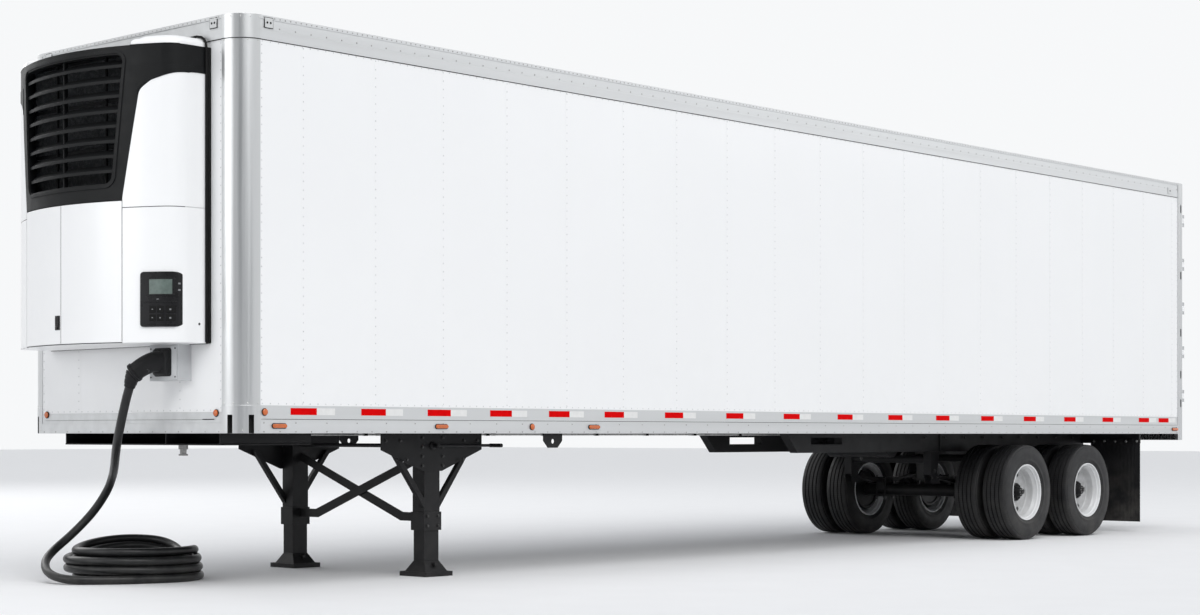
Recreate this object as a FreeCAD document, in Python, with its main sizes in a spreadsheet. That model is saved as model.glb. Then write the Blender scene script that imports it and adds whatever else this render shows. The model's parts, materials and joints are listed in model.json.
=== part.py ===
"""Refrigerated semi trailer, 48 ft box, standing on its landing legs and wheels.

Millimetres. +X is forward, +Y the road side (left), +Z up. The origin is on the ground,
under the middle of the trailer. Every size is a cell of the Dimensions sheet, and every
place is a formula of those cells.
"""
import FreeCAD, Part
import math
import os
import re
import Sketcher

Vector = FreeCAD.Vector
X_AXIS, Y_AXIS, Z_AXIS = Vector(1, 0, 0), Vector(0, 1, 0), Vector(0, 0, 1)

DIMENSIONS = (
    # overall
    ("box_length", 14630),
    ("box_width", 2591),
    ("overall_height", 4115),
    # box walls and rails
    ("side_wall_thickness", 60),
    ("front_wall_thickness", 90),
    ("roof_thickness", 75),
    ("floor_thickness", 75),
    ("rail_underside", 1137),
    ("rail_plate", 8),
    ("rail_ledge_width", 76),
    ("rail_ledge_height", 100),
    ("bottom_rail_height", 200),
    ("front_rail_height", 153),
    ("top_rail_height", 171),
    ("corner_radius", 197),
    ("corner_casting_step", 3),
    ("corner_shoe_height", 200),
    ("corner_slot_width", 40),
    ("corner_slot_height", 133),
    ("corner_slot_depth", 45),
    ("rail_step", 4),
    ("bottom_rail_split", 99),
    ("front_rail_split", 74),
    ("top_rail_split", 72),
    ("top_rail_cap", 27),
    # rear frame, doors and their hinges
    ("rear_post_width", 60),
    ("rear_frame_depth", 110),
    ("rear_sill_drop", 74),
    ("dock_plate", 10),
    ("dock_plate_margin", 20),
    ("door_thickness", 85),
    ("door_gap", 8),
    ("door_stand", 6),
    ("hinge_offset", 50),
    ("knuckle_radius", 16),
    ("hinge_leaf", 10),
    ("knuckle_length", 60),
    ("knuckle_gap", 1),
    ("strap_length", 260),
    ("lock_rod_radius", 13),
    ("lock_rod_standoff", 34),
    ("lock_rod_inner", 150),
    ("lock_rod_outer", 620),
    ("lock_handle_length", 290),
    ("lock_handle", 30),
    ("lock_handle_height", 560),
    # floor frame
    ("crossmember_pitch", 305),
    ("crossmember_flange", 60),
    ("crossmember_plate", 6),
    # upper coupler and kingpin
    ("coupler_front_setback", 116),
    ("coupler_length", 877),
    ("coupler_depth", 87),
    ("coupler_plate", 10),
    ("coupler_width", 1900),
    ("kingpin_setback", 530),
    ("kingpin_collar_radius", 35.7),
    ("kingpin_neck_radius", 25.4),
    ("kingpin_shank_radius", 36.5),
    ("kingpin_collar_height", 13.5),
    ("kingpin_neck_height", 35),
    ("kingpin_shank_height", 35),
    ("kingpin_hole_radius", 37),
    ("kingpin_flange_radius", 80),
    ("kingpin_flange", 12),
    # landing gear
    ("leg_setback", 2373),
    ("leg_half_track", 787),
    ("leg_length_x", 175),
    ("leg_width_y", 130),
    ("leg_wall", 5),
    ("leg_bottom", 365),
    ("ram_clearance", 1),
    ("leg_collar_height", 147),
    ("leg_collar_stand", 10),
    ("ram_overlap", 400),
    ("shoe_width", 300),
    ("shoe_plate", 12),
    ("shoe_rim", 38),
    ("shoe_rim_wall", 8),
    ("shoe_flare_foot", 270),
    ("shoe_flare_height", 122),
    ("wing_plate_length", 1140),
    ("wing_plate_band", 130),
    ("wing_plate_drop", 300),
    ("wing_plate", 8),
    ("leg_stay_foot_height", 180),
    ("leg_stay_foot", 75),
    ("leg_stay_reach", 300),
    ("leg_stay_rise", 450),
    ("leg_stay_width", 50),
    ("leg_stay_thickness", 40),
    ("brace_low", 432),
    ("brace_high", 905),
    ("brace_width", 70),
    ("brace_flat", 225),
    ("brace_plate", 10),
    ("crank_height", 1040),
    ("crank_shaft_radius", 16),
    ("crank_radius", 12),
    ("crank_arm", 620),
    ("crank_grip", 130),
    ("gearbox_length", 150),
    ("gearbox_width", 70),
    ("gearbox_height", 100),
    ("tie_plate_setback", 3290),
    ("tie_plate_length", 230),
    ("tie_plate_drop", 117),
    ("tie_plate_hole", 20),
    # bogie
    ("axle_setback", 11016),
    ("axle_spread", 1340),
    ("axle_tube_radius", 65),
    ("axle_end_gap", 5),
    ("bogie_rail_start", 7644),
    ("bogie_rail_end", 13640),
    ("bogie_rail_bottom", 945),
    ("bogie_rail_width", 90),
    ("bogie_rail_half_track", 500),
    ("bogie_nose_slope", 186),
    ("bogie_slot_start", 8057),
    ("bogie_slot_length", 545),
    ("bogie_slot_bottom", 1028),
    ("bogie_slot_height", 70),
    ("bogie_joint", 10460),
    ("bogie_joint_plate", 14),
    ("hanger_foot", 600),
    ("hanger_top_length", 220),
    ("hanger_foot_length", 130),
    ("hanger_cheek", 4),
    ("hanger_tube_radius", 42),
    ("spring_seat", 20),
    ("spring_leaf", 14),
    ("spring_camber", 55),
    ("spring_end_gap", 8),
    ("spring_seat_length", 182),
    ("u_bolt_radius", 9),
    ("cam_tube_radius", 22),
    ("cam_tube_gap", 30),
    ("shield_radius", 186),
    ("shield_plate", 6),
    ("shield_setback", 242),
    ("chamber_radius", 82),
    ("chamber_length", 150),
    ("chamber_y", 330),
    ("chamber_setback", 130),
    ("air_tank_radius", 118),
    ("air_tank_length", 760),
    ("air_tank_offset", 560),
    ("air_tank_gap", 16),
    ("air_tank_saddle", 60),
    # wheels
    ("tyre_radius", 510),
    ("tyre_width", 280),
    ("tyre_tread_width", 232),
    ("tyre_bead_radius", 284),
    ("dual_half_spacing", 167),
    ("wheel_half_track", 984),
    ("rim_flange_radius", 298.5),
    ("rim_half_width", 118),
    ("rim_flange_width", 12),
    ("rim_well_radius", 262),
    ("rim_plate", 10),
    ("rim_seat_width", 62),
    ("rim_well_half", 36),
    ("dish_radius", 175),
    ("disc_plate", 12),
    ("hub_radius", 85),
    ("hub_length", 130),
    ("hub_tail", 20),
    ("drum_radius", 214),
    ("drum_length", 190),
    ("drum_setback", 60),
    ("drum_wall", 20),
    ("hub_cap_radius", 58),
    ("hub_cap_depth", 42),
    ("hub_cone", 30),
    ("hand_hole_radius", 27),
    ("hand_hole_circle", 196),
    # mud flaps
    ("flap_setback", 13580),
    ("flap_width", 610),
    ("flap_bottom", 120),
    ("flap_plate", 10),
    # refrigeration unit
    ("unit_depth", 602),
    ("unit_half_width", 960),
    ("unit_bow_radius", 1650),
    ("unit_corner_radius", 200),
    ("unit_bottom", 1780),
    ("unit_top", 3895),
    ("unit_skin", 30),
    ("unit_back", 30),
    ("unit_door_top", 2797),
    ("unit_door_half_width", 588),
    ("unit_gap", 6),
    ("unit_door_clearance", 6),
    ("surround_depth", 60),
    ("surround_knee_y", 716),
    ("surround_knee_z", 3575),
    ("surround_knee_radius", 90),
    ("surround_shoulder_y", 905),
    ("surround_shoulder_z", 3724),
    ("surround_shoulder_radius", 260),
    ("grille_bottom", 2920),
    ("grille_top", 3834),
    ("grille_bottom_half", 500),
    ("grille_top_half", 595),
    ("grille_low_corner", 60),
    ("grille_high_corner", 50),
    ("grille_bead", 22),
    ("grille_bead_stand", 8),
    ("louvre_count", 8),
    ("louvre_first", 88),
    ("louvre_last", 80),
    ("louvre_setback", 10),
    ("louvre_nose", 23),
    ("louvre_reach", 48),
    ("louvre_rise", 30),
    ("louvre_plate", 8),
    ("divider_half_width", 5),
    ("condenser_half_width", 620),
    ("condenser_setback", 210),
    ("lid_plate", 20),
    ("dome_height", 48),
    ("dome_inner", 645),
    ("dome_inset", 10),
    ("dome_radius", 34),
    ("cover_seam_height", 2740),
    ("cover_seam", 5),
    ("panel_inner", 734),
    ("panel_outer", 954),
    ("panel_bottom", 1890),
    ("panel_top", 2280),
    ("panel_corner", 22),
    ("panel_stand", 12),
    ("screen_inner", 785),
    ("screen_outer", 905),
    ("screen_bottom", 2114),
    ("screen_top", 2222),
    ("screen_depth", 5),
    # shore power socket
    ("socket_box_depth", 115),
    ("socket_box_y", 420),
    ("socket_box_width", 330),
    ("socket_box_height", 262),
    ("plug_y", 575),
    ("plug_z", 1654),
    ("plug_flange_radius", 95),
    ("plug_flange", 45),
    ("plug_elbow_reach", 75),
    ("plug_elbow_shift", 15),
    ("plug_elbow_radius", 62),
    # lamps
    ("side_lamp_length", 140),
    ("side_lamp_height", 36),
    ("side_lamp_depth", 18),
    ("side_lamp_rise", 35),
    # cable
    ("cable_radius", 33),
)

# Places that follow from the sheet, each a formula of its cells and of the lines above it.
PLACES = {
    "half_width": "box_width/2",
    "rear_reach": "hinge_offset+knuckle_radius",
    "front_x": "(box_length+rear_reach-unit_depth-grille_bead_stand)/2",
    "rear_x": "front_x-box_length",
    "floor_bottom": "rail_underside+rail_ledge_height+rail_plate",
    "floor_top": "floor_bottom+floor_thickness",
    "roof_top": "overall_height-rail_plate",
    "wall_outer": "half_width-rail_plate",
    "wall_inner": "wall_outer-side_wall_thickness",
    "front_outer": "front_x-rail_plate",
    "front_inner": "front_outer-front_wall_thickness",
    "corner_x": "front_x-corner_radius",
    "corner_y": "half_width-corner_radius",
    "box_rear": "rear_x+rear_frame_depth",
    "header_bottom": "overall_height-top_rail_height",
    "sill_bottom": "rail_underside-rear_sill_drop",
    "door_bottom": "floor_top+door_gap",
    "door_top": "header_bottom-door_gap",
    "door_outer": "half_width-rear_post_width-door_gap",
    "door_face": "rear_x-door_stand",
    "pin_x": "rear_x-hinge_offset",
    "pin_y": "half_width-knuckle_radius",
    "coupler_front": "front_x-coupler_front_setback",
    "coupler_bottom": "rail_underside-coupler_depth",
    "kingpin_x": "front_x-kingpin_setback",
    "leg_x": "front_x-leg_setback",
    "front_axle_x": "front_x-axle_setback",
    "rear_axle_x": "front_axle_x-axle_spread",
    "flap_x": "front_x-flap_setback",
    "unit_front": "front_x+unit_depth",
    "unit_rear": "front_x+unit_back",
    "louvre_pitch": "(grille_top-grille_bottom-louvre_first-louvre_last)/(louvre_count-1)",
    "spring_bottom": "tyre_radius+axle_tube_radius+spring_seat",
    "spring_top": "spring_bottom+3*spring_leaf",
    "spring_end": "spring_top+spring_camber",
    "spring_clamp": "spring_top+spring_camber*0.03",
    "spring_inner": "bogie_rail_half_track-bogie_rail_width/2",
    "spring_outer": "bogie_rail_half_track+bogie_rail_width/2",
}

DOC = FreeCAD.newDocument("refrigerated_semi_trailer")
SHEET = DOC.addObject("Spreadsheet::Sheet", "Dimensions")
for row, (alias, value) in enumerate(DIMENSIONS, 1):
    SHEET.set("A%d" % row, alias)
    SHEET.set("B%d" % row, str(value))
    SHEET.setAlias("B%d" % row, alias)
DOC.recompute()
ALIASES = {alias for alias, _ in DIMENSIONS}
NODES = []


def formula(text):
    """Spell a size out in the sheet's cells, ready for setExpression."""
    def word(match):
        name = match.group(0)
        if name in PLACES:
            return "(" + formula(PLACES[name]) + ")"
        return "Dimensions." + name if name in ALIASES else name
    return re.sub(r"[a-z][a-z_]*", word, str(text))


def number(text):
    """Today's value of a formula."""
    return float(SHEET.evalExpression(formula(text)))


def bind(piece, prop, text):
    piece.setExpression(prop, formula(text))


def move(piece, x="0", y="0", z="0"):
    for axis, text in (("x", x), ("y", y), ("z", z)):
        bind(piece, "Placement.Base." + axis, text)
    return piece


def box(name, x, y, z):
    """A block between two formulas along each axis."""
    piece = DOC.addObject("Part::Box", name)
    for side, (low, high) in (("Length", x), ("Width", y), ("Height", z)):
        bind(piece, side, "(%s)-(%s)" % (high, low))
    return move(piece, x[0], y[0], z[0])


def rod(name, radius, start, axis, length, angle=None):
    """A cylinder from a start point along +X, +Y or +Z."""
    piece = DOC.addObject("Part::Cylinder", name)
    bind(piece, "Radius", radius)
    bind(piece, "Height", length)
    if angle:
        piece.Angle = angle
    piece.Placement.Rotation = FreeCAD.Rotation(Z_AXIS, axis)
    return move(piece, *start)


def origin_plane(body, role):
    return next(item for item in body.Origin.OriginFeatures if item.Role == role)


def sketch(body, plane, outline):
    """A closed outline of straight lines, each corner held by two formulas."""
    drawing = body.newObject("Sketcher::SketchObject", body.Name + "_outline")
    drawing.AttachmentSupport = [(origin_plane(body, plane + "_Plane"), "")]
    drawing.MapMode = "FlatFace"
    corners = [Vector(number(u), number(v), 0) for u, v in outline]
    count = len(corners)
    for index, corner in enumerate(corners):
        drawing.addGeometry(Part.LineSegment(corner, corners[(index + 1) % count]), False)
    for index in range(count):
        drawing.addConstraint(Sketcher.Constraint("Coincident", index, 2, (index + 1) % count, 1))
    for index, texts in enumerate(outline):
        for kind, text in zip(("DistanceX", "DistanceY"), texts):
            rule = Sketcher.Constraint(kind, -1, 1, index, 1, number(text))
            drawing.setExpression("Constraints[%d]" % drawing.addConstraint(rule), formula(text))
    return drawing


def prism(name, plane, outline, low, high):
    """An outline on the XY, XZ or YZ plane, padded between two formulas across it."""
    body = DOC.addObject("PartDesign::Body", name)
    drawing = sketch(body, plane, outline)
    pad = body.newObject("PartDesign::Pad", name + "_pad")
    pad.Profile = drawing
    bind(pad, "Length", "(%s)-(%s)" % (high, low))
    place = {"XY": {"z": low}, "XZ": {"y": high}, "YZ": {"x": low}}[plane]
    return move(body, **place)


def rounded(name, piece, corners):
    """A YZ or XZ prism with a radius on the long edges that pass through some corners of its outline.

    Each corner is (axis across, its two places as formulas, radius).
    """
    DOC.recompute()
    across = {"x": (X_AXIS, lambda p: (p.y, p.z)), "y": (Y_AXIS, lambda p: (p.x, p.z))}
    chosen = []
    for axis, u, v, radius in corners:
        along, seen = across[axis]
        for index, edge in enumerate(piece.Shape.Edges, 1):
            if len(edge.Vertexes) != 2 or abs(edge.tangentAt(edge.FirstParameter).dot(along)) < 0.99:
                continue
            place = seen(edge.CenterOfMass)
            if math.hypot(place[0] - number(u), place[1] - number(v)) < 0.01:
                chosen.append((index, number(radius), number(radius)))
    soft = DOC.addObject("Part::Fillet", name)
    soft.Base = piece
    soft.Edges = chosen
    return soft


def turned(name, outline, axis):
    """An outline turned about Y (points are y, radius) or about Z (points are radius, z)."""
    body = DOC.addObject("PartDesign::Body", name)
    drawing = sketch(body, "YZ" if axis == "Y" else "XZ", outline)
    turn = body.newObject("PartDesign::Revolution", name + "_turn")
    turn.Profile = drawing
    turn.ReferenceAxis = (drawing, ["H_Axis" if axis == "Y" else "V_Axis"])
    turn.Angle = 360
    return body


def joined(name, *pieces):
    whole = DOC.addObject("Part::MultiFuse", name)
    whole.Shapes = list(pieces)
    return whole


def cut(name, base, tool):
    rest = DOC.addObject("Part::Cut", name)
    rest.Base, rest.Tool = base, tool
    return rest


def shared(name, first, second):
    overlap = DOC.addObject("Part::Common", name)
    overlap.Base, overlap.Tool = first, second
    return overlap


def group(name, *pieces):
    """Several solids of one node that don't touch."""
    several = DOC.addObject("Part::Compound", name)
    several.Links = list(pieces)
    return several


def mirrored(name, source, normal=Y_AXIS):
    copy = DOC.addObject("Part::Mirroring", name)
    copy.Source, copy.Normal = source, normal
    return copy


def node(label, piece):
    """One sub-part: its Label names its file."""
    piece.Label = label
    NODES.append(piece)
    return piece


def both_sides(label, left):
    """A node of a left piece and its mirror image."""
    node(label, group(label + "_pair", left, mirrored(label + "_right", left)))


def side_walls():
    left = box("left_wall_panel", ("box_rear", "corner_x"), ("wall_inner", "wall_outer"),
               ("floor_bottom", "roof_top"))
    node("left_side_wall", left)
    node("right_side_wall", mirrored("right_wall_panel", left))


CORNER_INNER = "corner_radius-rail_plate-side_wall_thickness"


def quarter(name, outer, inner, low, high):
    """A quarter ring round the left front corner's centre."""
    height = "(%s)-(%s)" % (high, low)
    start = ("corner_x", "corner_y", low)
    return cut(name, rod(name + "_outer", outer, start, Z_AXIS, height, 90),
               rod(name + "_inner", inner, start, Z_AXIS, height, 90))


def deck(name, low, high):
    """A panel between the walls whose front corners make room for the corner posts."""
    sheet = box(name + "_sheet", ("box_rear", "front_inner"), ("-wall_inner", "wall_inner"), (low, high))
    corner = quarter(name + "_corner", "corner_radius", CORNER_INNER, low, high)
    return cut(name, sheet, group(name + "_corners", corner, mirrored(name + "_right_corner", corner)))


def end_and_roof_panels():
    node("front_wall", box("front_panel", ("front_inner", "front_outer"), ("-corner_y", "corner_y"),
                           ("floor_bottom", "roof_top")))
    node("roof", deck("roof_panel", "roof_top-roof_thickness", "roof_top"))
    node("floor", deck("floor_deck", "floor_bottom", "floor_top"))


def corner_posts():
    skin = "corner_radius-corner_casting_step"
    column = joined(
        "left_corner",
        quarter("corner_column", skin, CORNER_INNER, "rail_underside", "overall_height"),
        quarter("corner_shoe", "corner_radius", CORNER_INNER, "rail_underside",
                "rail_underside+corner_shoe_height"),
        quarter("corner_cap", "corner_radius", CORNER_INNER, "header_bottom", "overall_height"))
    slots = []
    for name, angle in (("forward", 22), ("outward", 68)):
        slot = box("corner_slot_" + name, ("corner_radius-corner_slot_depth", "corner_radius+1"),
                   ("-corner_slot_width/2", "corner_slot_width/2"), ("0", "corner_slot_height"))
        turn = FreeCAD.Rotation(Z_AXIS, angle)
        slot.Placement.Rotation = turn
        along, aside = turn.multVec(X_AXIS), turn.multVec(Y_AXIS)
        reach, half = "(corner_radius-corner_slot_depth)", "corner_slot_width/2"
        move(slot, "corner_x+%s*%.9f-%s*%.9f" % (reach, along.x, half, aside.x),
             "corner_y+%s*%.9f-%s*%.9f" % (reach, along.y, half, aside.y), "rail_underside-1")
        slots.append(slot)
    left = cut("left_corner_slotted", column, group("corner_slots", *slots))
    node("left_front_corner_post", left)
    node("right_front_corner_post", mirrored("right_corner", left))


def rails():
    ledge, side = "half_width-rail_ledge_width", "wall_outer"
    low, top = "rail_underside", "rail_underside+bottom_rail_height"
    split, face = low + "+bottom_rail_split", "half_width-rail_step"
    bottom = (("half_width", low), ("half_width", split), (face, split), (face, top), (side, top),
              (side, "floor_bottom"), (ledge, "floor_bottom"), (ledge, "floor_bottom-rail_plate"),
              (side, "floor_bottom-rail_plate"), (side, low + "+rail_plate"),
              (ledge, low + "+rail_plate"), (ledge, low))
    both_sides("bottom_rails", prism("bottom_rail", "YZ", bottom, "box_rear", "corner_x"))
    high, cap = "overall_height", "overall_height-top_rail_cap"
    split, lip = "header_bottom+top_rail_split", "half_width-rail_step/2"
    top_outline = ((lip, "header_bottom"), (lip, split), (face, split), (face, cap), ("half_width", cap),
                   ("half_width", high), (ledge, high), (ledge, "roof_top"), (side, "roof_top"),
                   (side, "header_bottom"))
    both_sides("top_rails", prism("top_rail", "YZ", top_outline, "box_rear", "corner_x"))
    back, face = "front_x-rail_ledge_width", "front_x-rail_step"
    split = low + "+front_rail_split"
    front_low = (("front_x", low), ("front_x", split), (face, split), (face, low + "+front_rail_height"),
                 ("front_outer", low + "+front_rail_height"), ("front_outer", low + "+rail_plate"),
                 (back, low + "+rail_plate"), (back, low))
    split, lip = "header_bottom+top_rail_split", "front_x-rail_step/2"
    front_high = ((lip, "header_bottom"), (lip, split), (face, split), (face, cap), ("front_x", cap),
                  ("front_x", high), (back, high), (back, "roof_top"), ("front_outer", "roof_top"),
                  ("front_outer", "header_bottom"))
    node("front_rails", group(
        "front_rail_pair",
        prism("front_lower_rail", "XZ", front_low, "-corner_y", "corner_y"),
        prism("front_upper_rail", "XZ", front_high, "-corner_y", "corner_y")))


def rear_frame():
    whole = box("rear_frame_block", ("rear_x", "box_rear"), ("-half_width", "half_width"),
                ("sill_bottom", "overall_height"))
    inside = "half_width-rear_post_width"
    doorway = box("doorway", ("rear_x-1", "box_rear+1"), ("-(%s)" % inside, inside),
                  ("floor_top", "header_bottom"))
    sill = box("dock_plate_block", ("rear_x-dock_plate", "rear_x"), ("-(%s)" % inside, inside),
               ("sill_bottom+dock_plate_margin", "floor_top-dock_plate_margin"))
    node("rear_frame", joined("rear_frame_whole", cut("rear_frame_ring", whole, doorway), sill))


def crossmembers():
    body = DOC.addObject("PartDesign::Body", "crossmember_row")
    body.AllowCompound = True
    half, web = "crossmember_flange/2", "crossmember_plate/2"
    low, high, plate = "rail_underside", "floor_bottom", "crossmember_plate"
    right = ((half, low), (half, low + "+" + plate), (web, low + "+" + plate),
             (web, high + "-" + plate), (half, high + "-" + plate), (half, high))
    outline = right + tuple(("-(%s)" % u, v) for u, v in reversed(right))
    pad = body.newObject("PartDesign::Pad", "crossmember_pad")
    pad.Profile = sketch(body, "XZ", outline)
    bind(pad, "Length", "2*(half_width-rail_ledge_width)")
    DOC.recompute()
    row_length = number("box_length-rear_frame_depth-rail_ledge_width-crossmember_pitch")
    count = int(row_length // number("crossmember_pitch")) + 1
    pattern = body.newObject("PartDesign::LinearPattern", "crossmember_pattern")
    pattern.Originals = [pad]
    pattern.Direction = (pad.Profile[0], ["H_Axis"])
    pattern.Occurrences = count
    bind(pattern, "Length", "crossmember_pitch*%d" % (count - 1))
    body.Tip = pattern
    move(body, x="box_rear+crossmember_pitch/2", y="half_width-rail_ledge_width")
    node("crossmembers", body)


def coupler():
    half = "coupler_width/2"
    rear = "coupler_front-coupler_length"
    plate = box("coupler_plate_block", (rear, "coupler_front"), ("-(%s)" % half, half),
                ("coupler_bottom", "coupler_bottom+coupler_plate"))
    ribs = [box("coupler_rib_%d" % index, (rear, "coupler_front"),
                ("%s*(%s)-coupler_plate/2" % (share, half), "%s*(%s)+coupler_plate/2" % (share, half)),
                ("coupler_bottom", "rail_underside"))
            for index, share in enumerate(("(-0.99)", "(-0.33)", "0.33", "0.99"))]
    hole = rod("kingpin_hole", "kingpin_hole_radius", ("kingpin_x", "0", "coupler_bottom-1"), Z_AXIS,
               "coupler_plate+2")
    node("coupler_plate", cut("coupler_whole", joined("coupler_assembly", plate, *ribs), hole))
    neck_top = "-kingpin_shank_height"
    neck_low = "-kingpin_shank_height-kingpin_neck_height"
    pin_low = neck_low + "-kingpin_collar_height"
    flange_top = "coupler_plate+kingpin_flange"
    pin = turned("kingpin_turning", (("0", flange_top), ("kingpin_flange_radius", flange_top),
                                     ("kingpin_flange_radius", "coupler_plate"),
                                     ("kingpin_shank_radius", "coupler_plate"),
                                     ("kingpin_shank_radius", neck_top),
                                     ("kingpin_neck_radius", neck_top),
                                     ("kingpin_neck_radius", neck_low),
                                     ("kingpin_collar_radius", neck_low),
                                     ("kingpin_collar_radius", pin_low), ("0", pin_low)), "Z")
    node("kingpin", move(pin, "kingpin_x", "0", "coupler_bottom"))


def square_tube(name, half_x, half_y, wall, low, high):
    """An upright box tube round the left leg's axis."""
    def block(suffix, inset):
        return box(name + suffix, ("leg_x-(%s)+%s" % (half_x, inset), "leg_x+(%s)-%s" % (half_x, inset)),
                   ("leg_half_track-(%s)+%s" % (half_y, inset), "leg_half_track+(%s)-%s" % (half_y, inset)),
                   (low, high))
    return cut(name, block("_outside", "0"), block("_inside", wall))


def frustum(name, foot, top_x, top_y, low, high):
    """A block round the left leg's axis, from a square foot to an oblong top; sizes are halves."""
    piece = DOC.addObject("Part::Wedge", name)
    for prop, text in (("Xmin", "-(%s)" % foot), ("Xmax", foot), ("Zmin", "-(%s)" % foot), ("Zmax", foot),
                       ("X2min", "-(%s)" % top_x), ("X2max", top_x), ("Z2min", "-(%s)" % top_y),
                       ("Z2max", top_y), ("Ymin", "0"), ("Ymax", "(%s)-(%s)" % (high, low))):
        bind(piece, prop, text)
    piece.Placement.Rotation = FreeCAD.Rotation(X_AXIS, 90)
    return move(piece, "leg_x", "leg_half_track", low)


def landing_legs():
    ram_wall = "leg_wall+ram_clearance"
    ram_x, ram_y = "leg_length_x/2-(%s)" % ram_wall, "leg_width_y/2-(%s)" % ram_wall
    sleeve = square_tube("leg_sleeve", "leg_length_x/2", "leg_width_y/2", "leg_wall", "leg_bottom",
                         "rail_underside")
    collar = square_tube("leg_collar", "leg_length_x/2+leg_collar_stand", "leg_width_y/2+leg_collar_stand",
                         "(leg_collar_stand+%s)" % ram_wall, "leg_bottom", "leg_bottom+leg_collar_height")
    both_sides("landing_leg_sleeves", joined("leg_sleeve_whole", sleeve, collar))
    both_sides("landing_leg_rams", square_tube("leg_ram", ram_x, ram_y, "leg_wall", "shoe_flare_height",
                                               "leg_bottom+ram_overlap"))
    half = "shoe_width/2"
    sole = box("shoe_sole", ("leg_x-" + half, "leg_x+" + half),
               ("leg_half_track-" + half, "leg_half_track+" + half), ("0", "shoe_plate"))
    rim = square_tube("shoe_rim_ring", half, half, "shoe_rim_wall", "0", "shoe_rim")
    flare = frustum("shoe_flare", "shoe_flare_foot/2", ram_x, ram_y, "shoe_plate", "shoe_flare_height")
    both_sides("landing_shoes", joined("landing_shoe", sole, rim, flare))


def landing_plates():
    half, band = "wing_plate_length/2", "rail_underside-wing_plate_band"
    toe = "leg_length_x/2+20"
    wing = prism("wing_plate", "XZ", (("-(%s)" % half, "rail_underside"), (half, "rail_underside"),
                                      (half, band), (toe, "rail_underside-wing_plate_drop"),
                                      ("-(%s)" % toe, "rail_underside-wing_plate_drop"),
                                      ("-(%s)" % half, band)), "0", "wing_plate")
    move(wing, "leg_x", "leg_half_track+leg_width_y/2+wing_plate")
    ahead, behind = "front_x-tie_plate_setback", "front_x-tie_plate_setback-tie_plate_length"
    foot = "rail_underside-tie_plate_drop"
    inset = "tie_plate_length/4"
    outer = "half_width-rail_ledge_width+wing_plate"
    plate = prism("tie_plate", "XZ", ((ahead, "rail_underside"), (ahead, foot + "+" + inset),
                                      (ahead + "-" + inset, foot), (behind + "+" + inset, foot),
                                      (behind, foot + "+" + inset), (behind, "rail_underside")),
                  outer + "-wing_plate", outer)
    hole = rod("tie_hole", "tie_plate_hole", (ahead + "-tie_plate_length/2", outer + "-wing_plate-1",
                                              foot + "+tie_plate_drop*0.45"), Y_AXIS, "wing_plate+2")
    both_sides("landing_wing_plates", group("landing_plate_row", wing, cut("tie_plate_holed", plate, hole)))


def leg_braces():
    collar = "(leg_half_track-leg_width_y/2-leg_collar_stand)"
    sleeve = "(leg_half_track-leg_width_y/2)"
    low, high, wide = "brace_low", "brace_high", "brace_width"
    rise = prism("leg_brace_bar", "YZ", (
        ("-" + collar, low), ("-%s+brace_flat" % collar, low), (sleeve, high), (sleeve, high + "+" + wide),
        ("-%s+brace_flat-brace_width/3" % collar, low + "+" + wide), ("-" + collar, low + "+" + wide)),
        "leg_x+brace_plate/2", "leg_x+brace_plate*1.5")
    fall = DOC.addObject("Part::Compound", "leg_brace_fall")
    fall.Links = [mirrored("leg_brace_mirror", rise)]
    move(fall, x="-2*brace_plate")
    stays = []
    face, foot = "leg_length_x/2", "leg_bottom+leg_stay_foot_height"
    reach, top = "(%s+leg_stay_reach)" % face, "(%s+leg_stay_rise)" % foot
    for name, sign in (("front", ""), ("back", "-")):
        corners = ((face, foot), (reach + "+leg_stay_width", top), (reach, top),
                   (face, foot + "+leg_stay_foot"))
        stay = prism("leg_stay_" + name, "XZ", tuple(("%s(%s)" % (sign, u), v) for u, v in corners),
                     "0", "leg_stay_thickness")
        stays.append(move(stay, "leg_x", "leg_half_track+leg_width_y/2"))
    left = group("leg_stay_pair", *stays)
    node("leg_cross_brace", group("leg_brace_set", rise, fall, left, mirrored("leg_stay_right", left)))


def crank():
    """The gearbox and cross shaft between the legs, and the winding handle outside the left one."""
    inner, outer = "leg_half_track-leg_width_y/2", "leg_half_track+leg_width_y/2+wing_plate"
    gearbox = box("crank_gearbox", ("leg_x-gearbox_length/2", "leg_x+gearbox_length/2"),
                  (inner + "-gearbox_width", inner), ("crank_height-gearbox_height/2",
                                                     "crank_height+gearbox_height/2"))
    shaft = rod("crank_cross_shaft", "crank_shaft_radius", ("leg_x", "-(%s)" % inner, "crank_height"),
                Y_AXIS, inner + "+" + inner + "-gearbox_width/2")
    hub = rod("crank_hub", "crank_shaft_radius", ("leg_x", outer, "crank_height"), Y_AXIS, "gearbox_width")
    arm_y = outer + "+gearbox_width-crank_radius"
    arm = rod("crank_arm_bar", "crank_radius", ("leg_x-crank_arm", arm_y, "crank_height"), X_AXIS,
              "crank_arm")
    grip = rod("crank_grip_bar", "crank_radius*1.3", ("leg_x-crank_arm", arm_y + "-crank_radius",
                                                      "crank_height"), Y_AXIS, "crank_grip")
    node("crank_handle", group("crank_set", joined("crank_gear", gearbox, shaft),
                               joined("crank_lever", hub, arm, grip)))


def landing_gear():
    landing_legs()
    landing_plates()
    leg_braces()
    crank()


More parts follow.
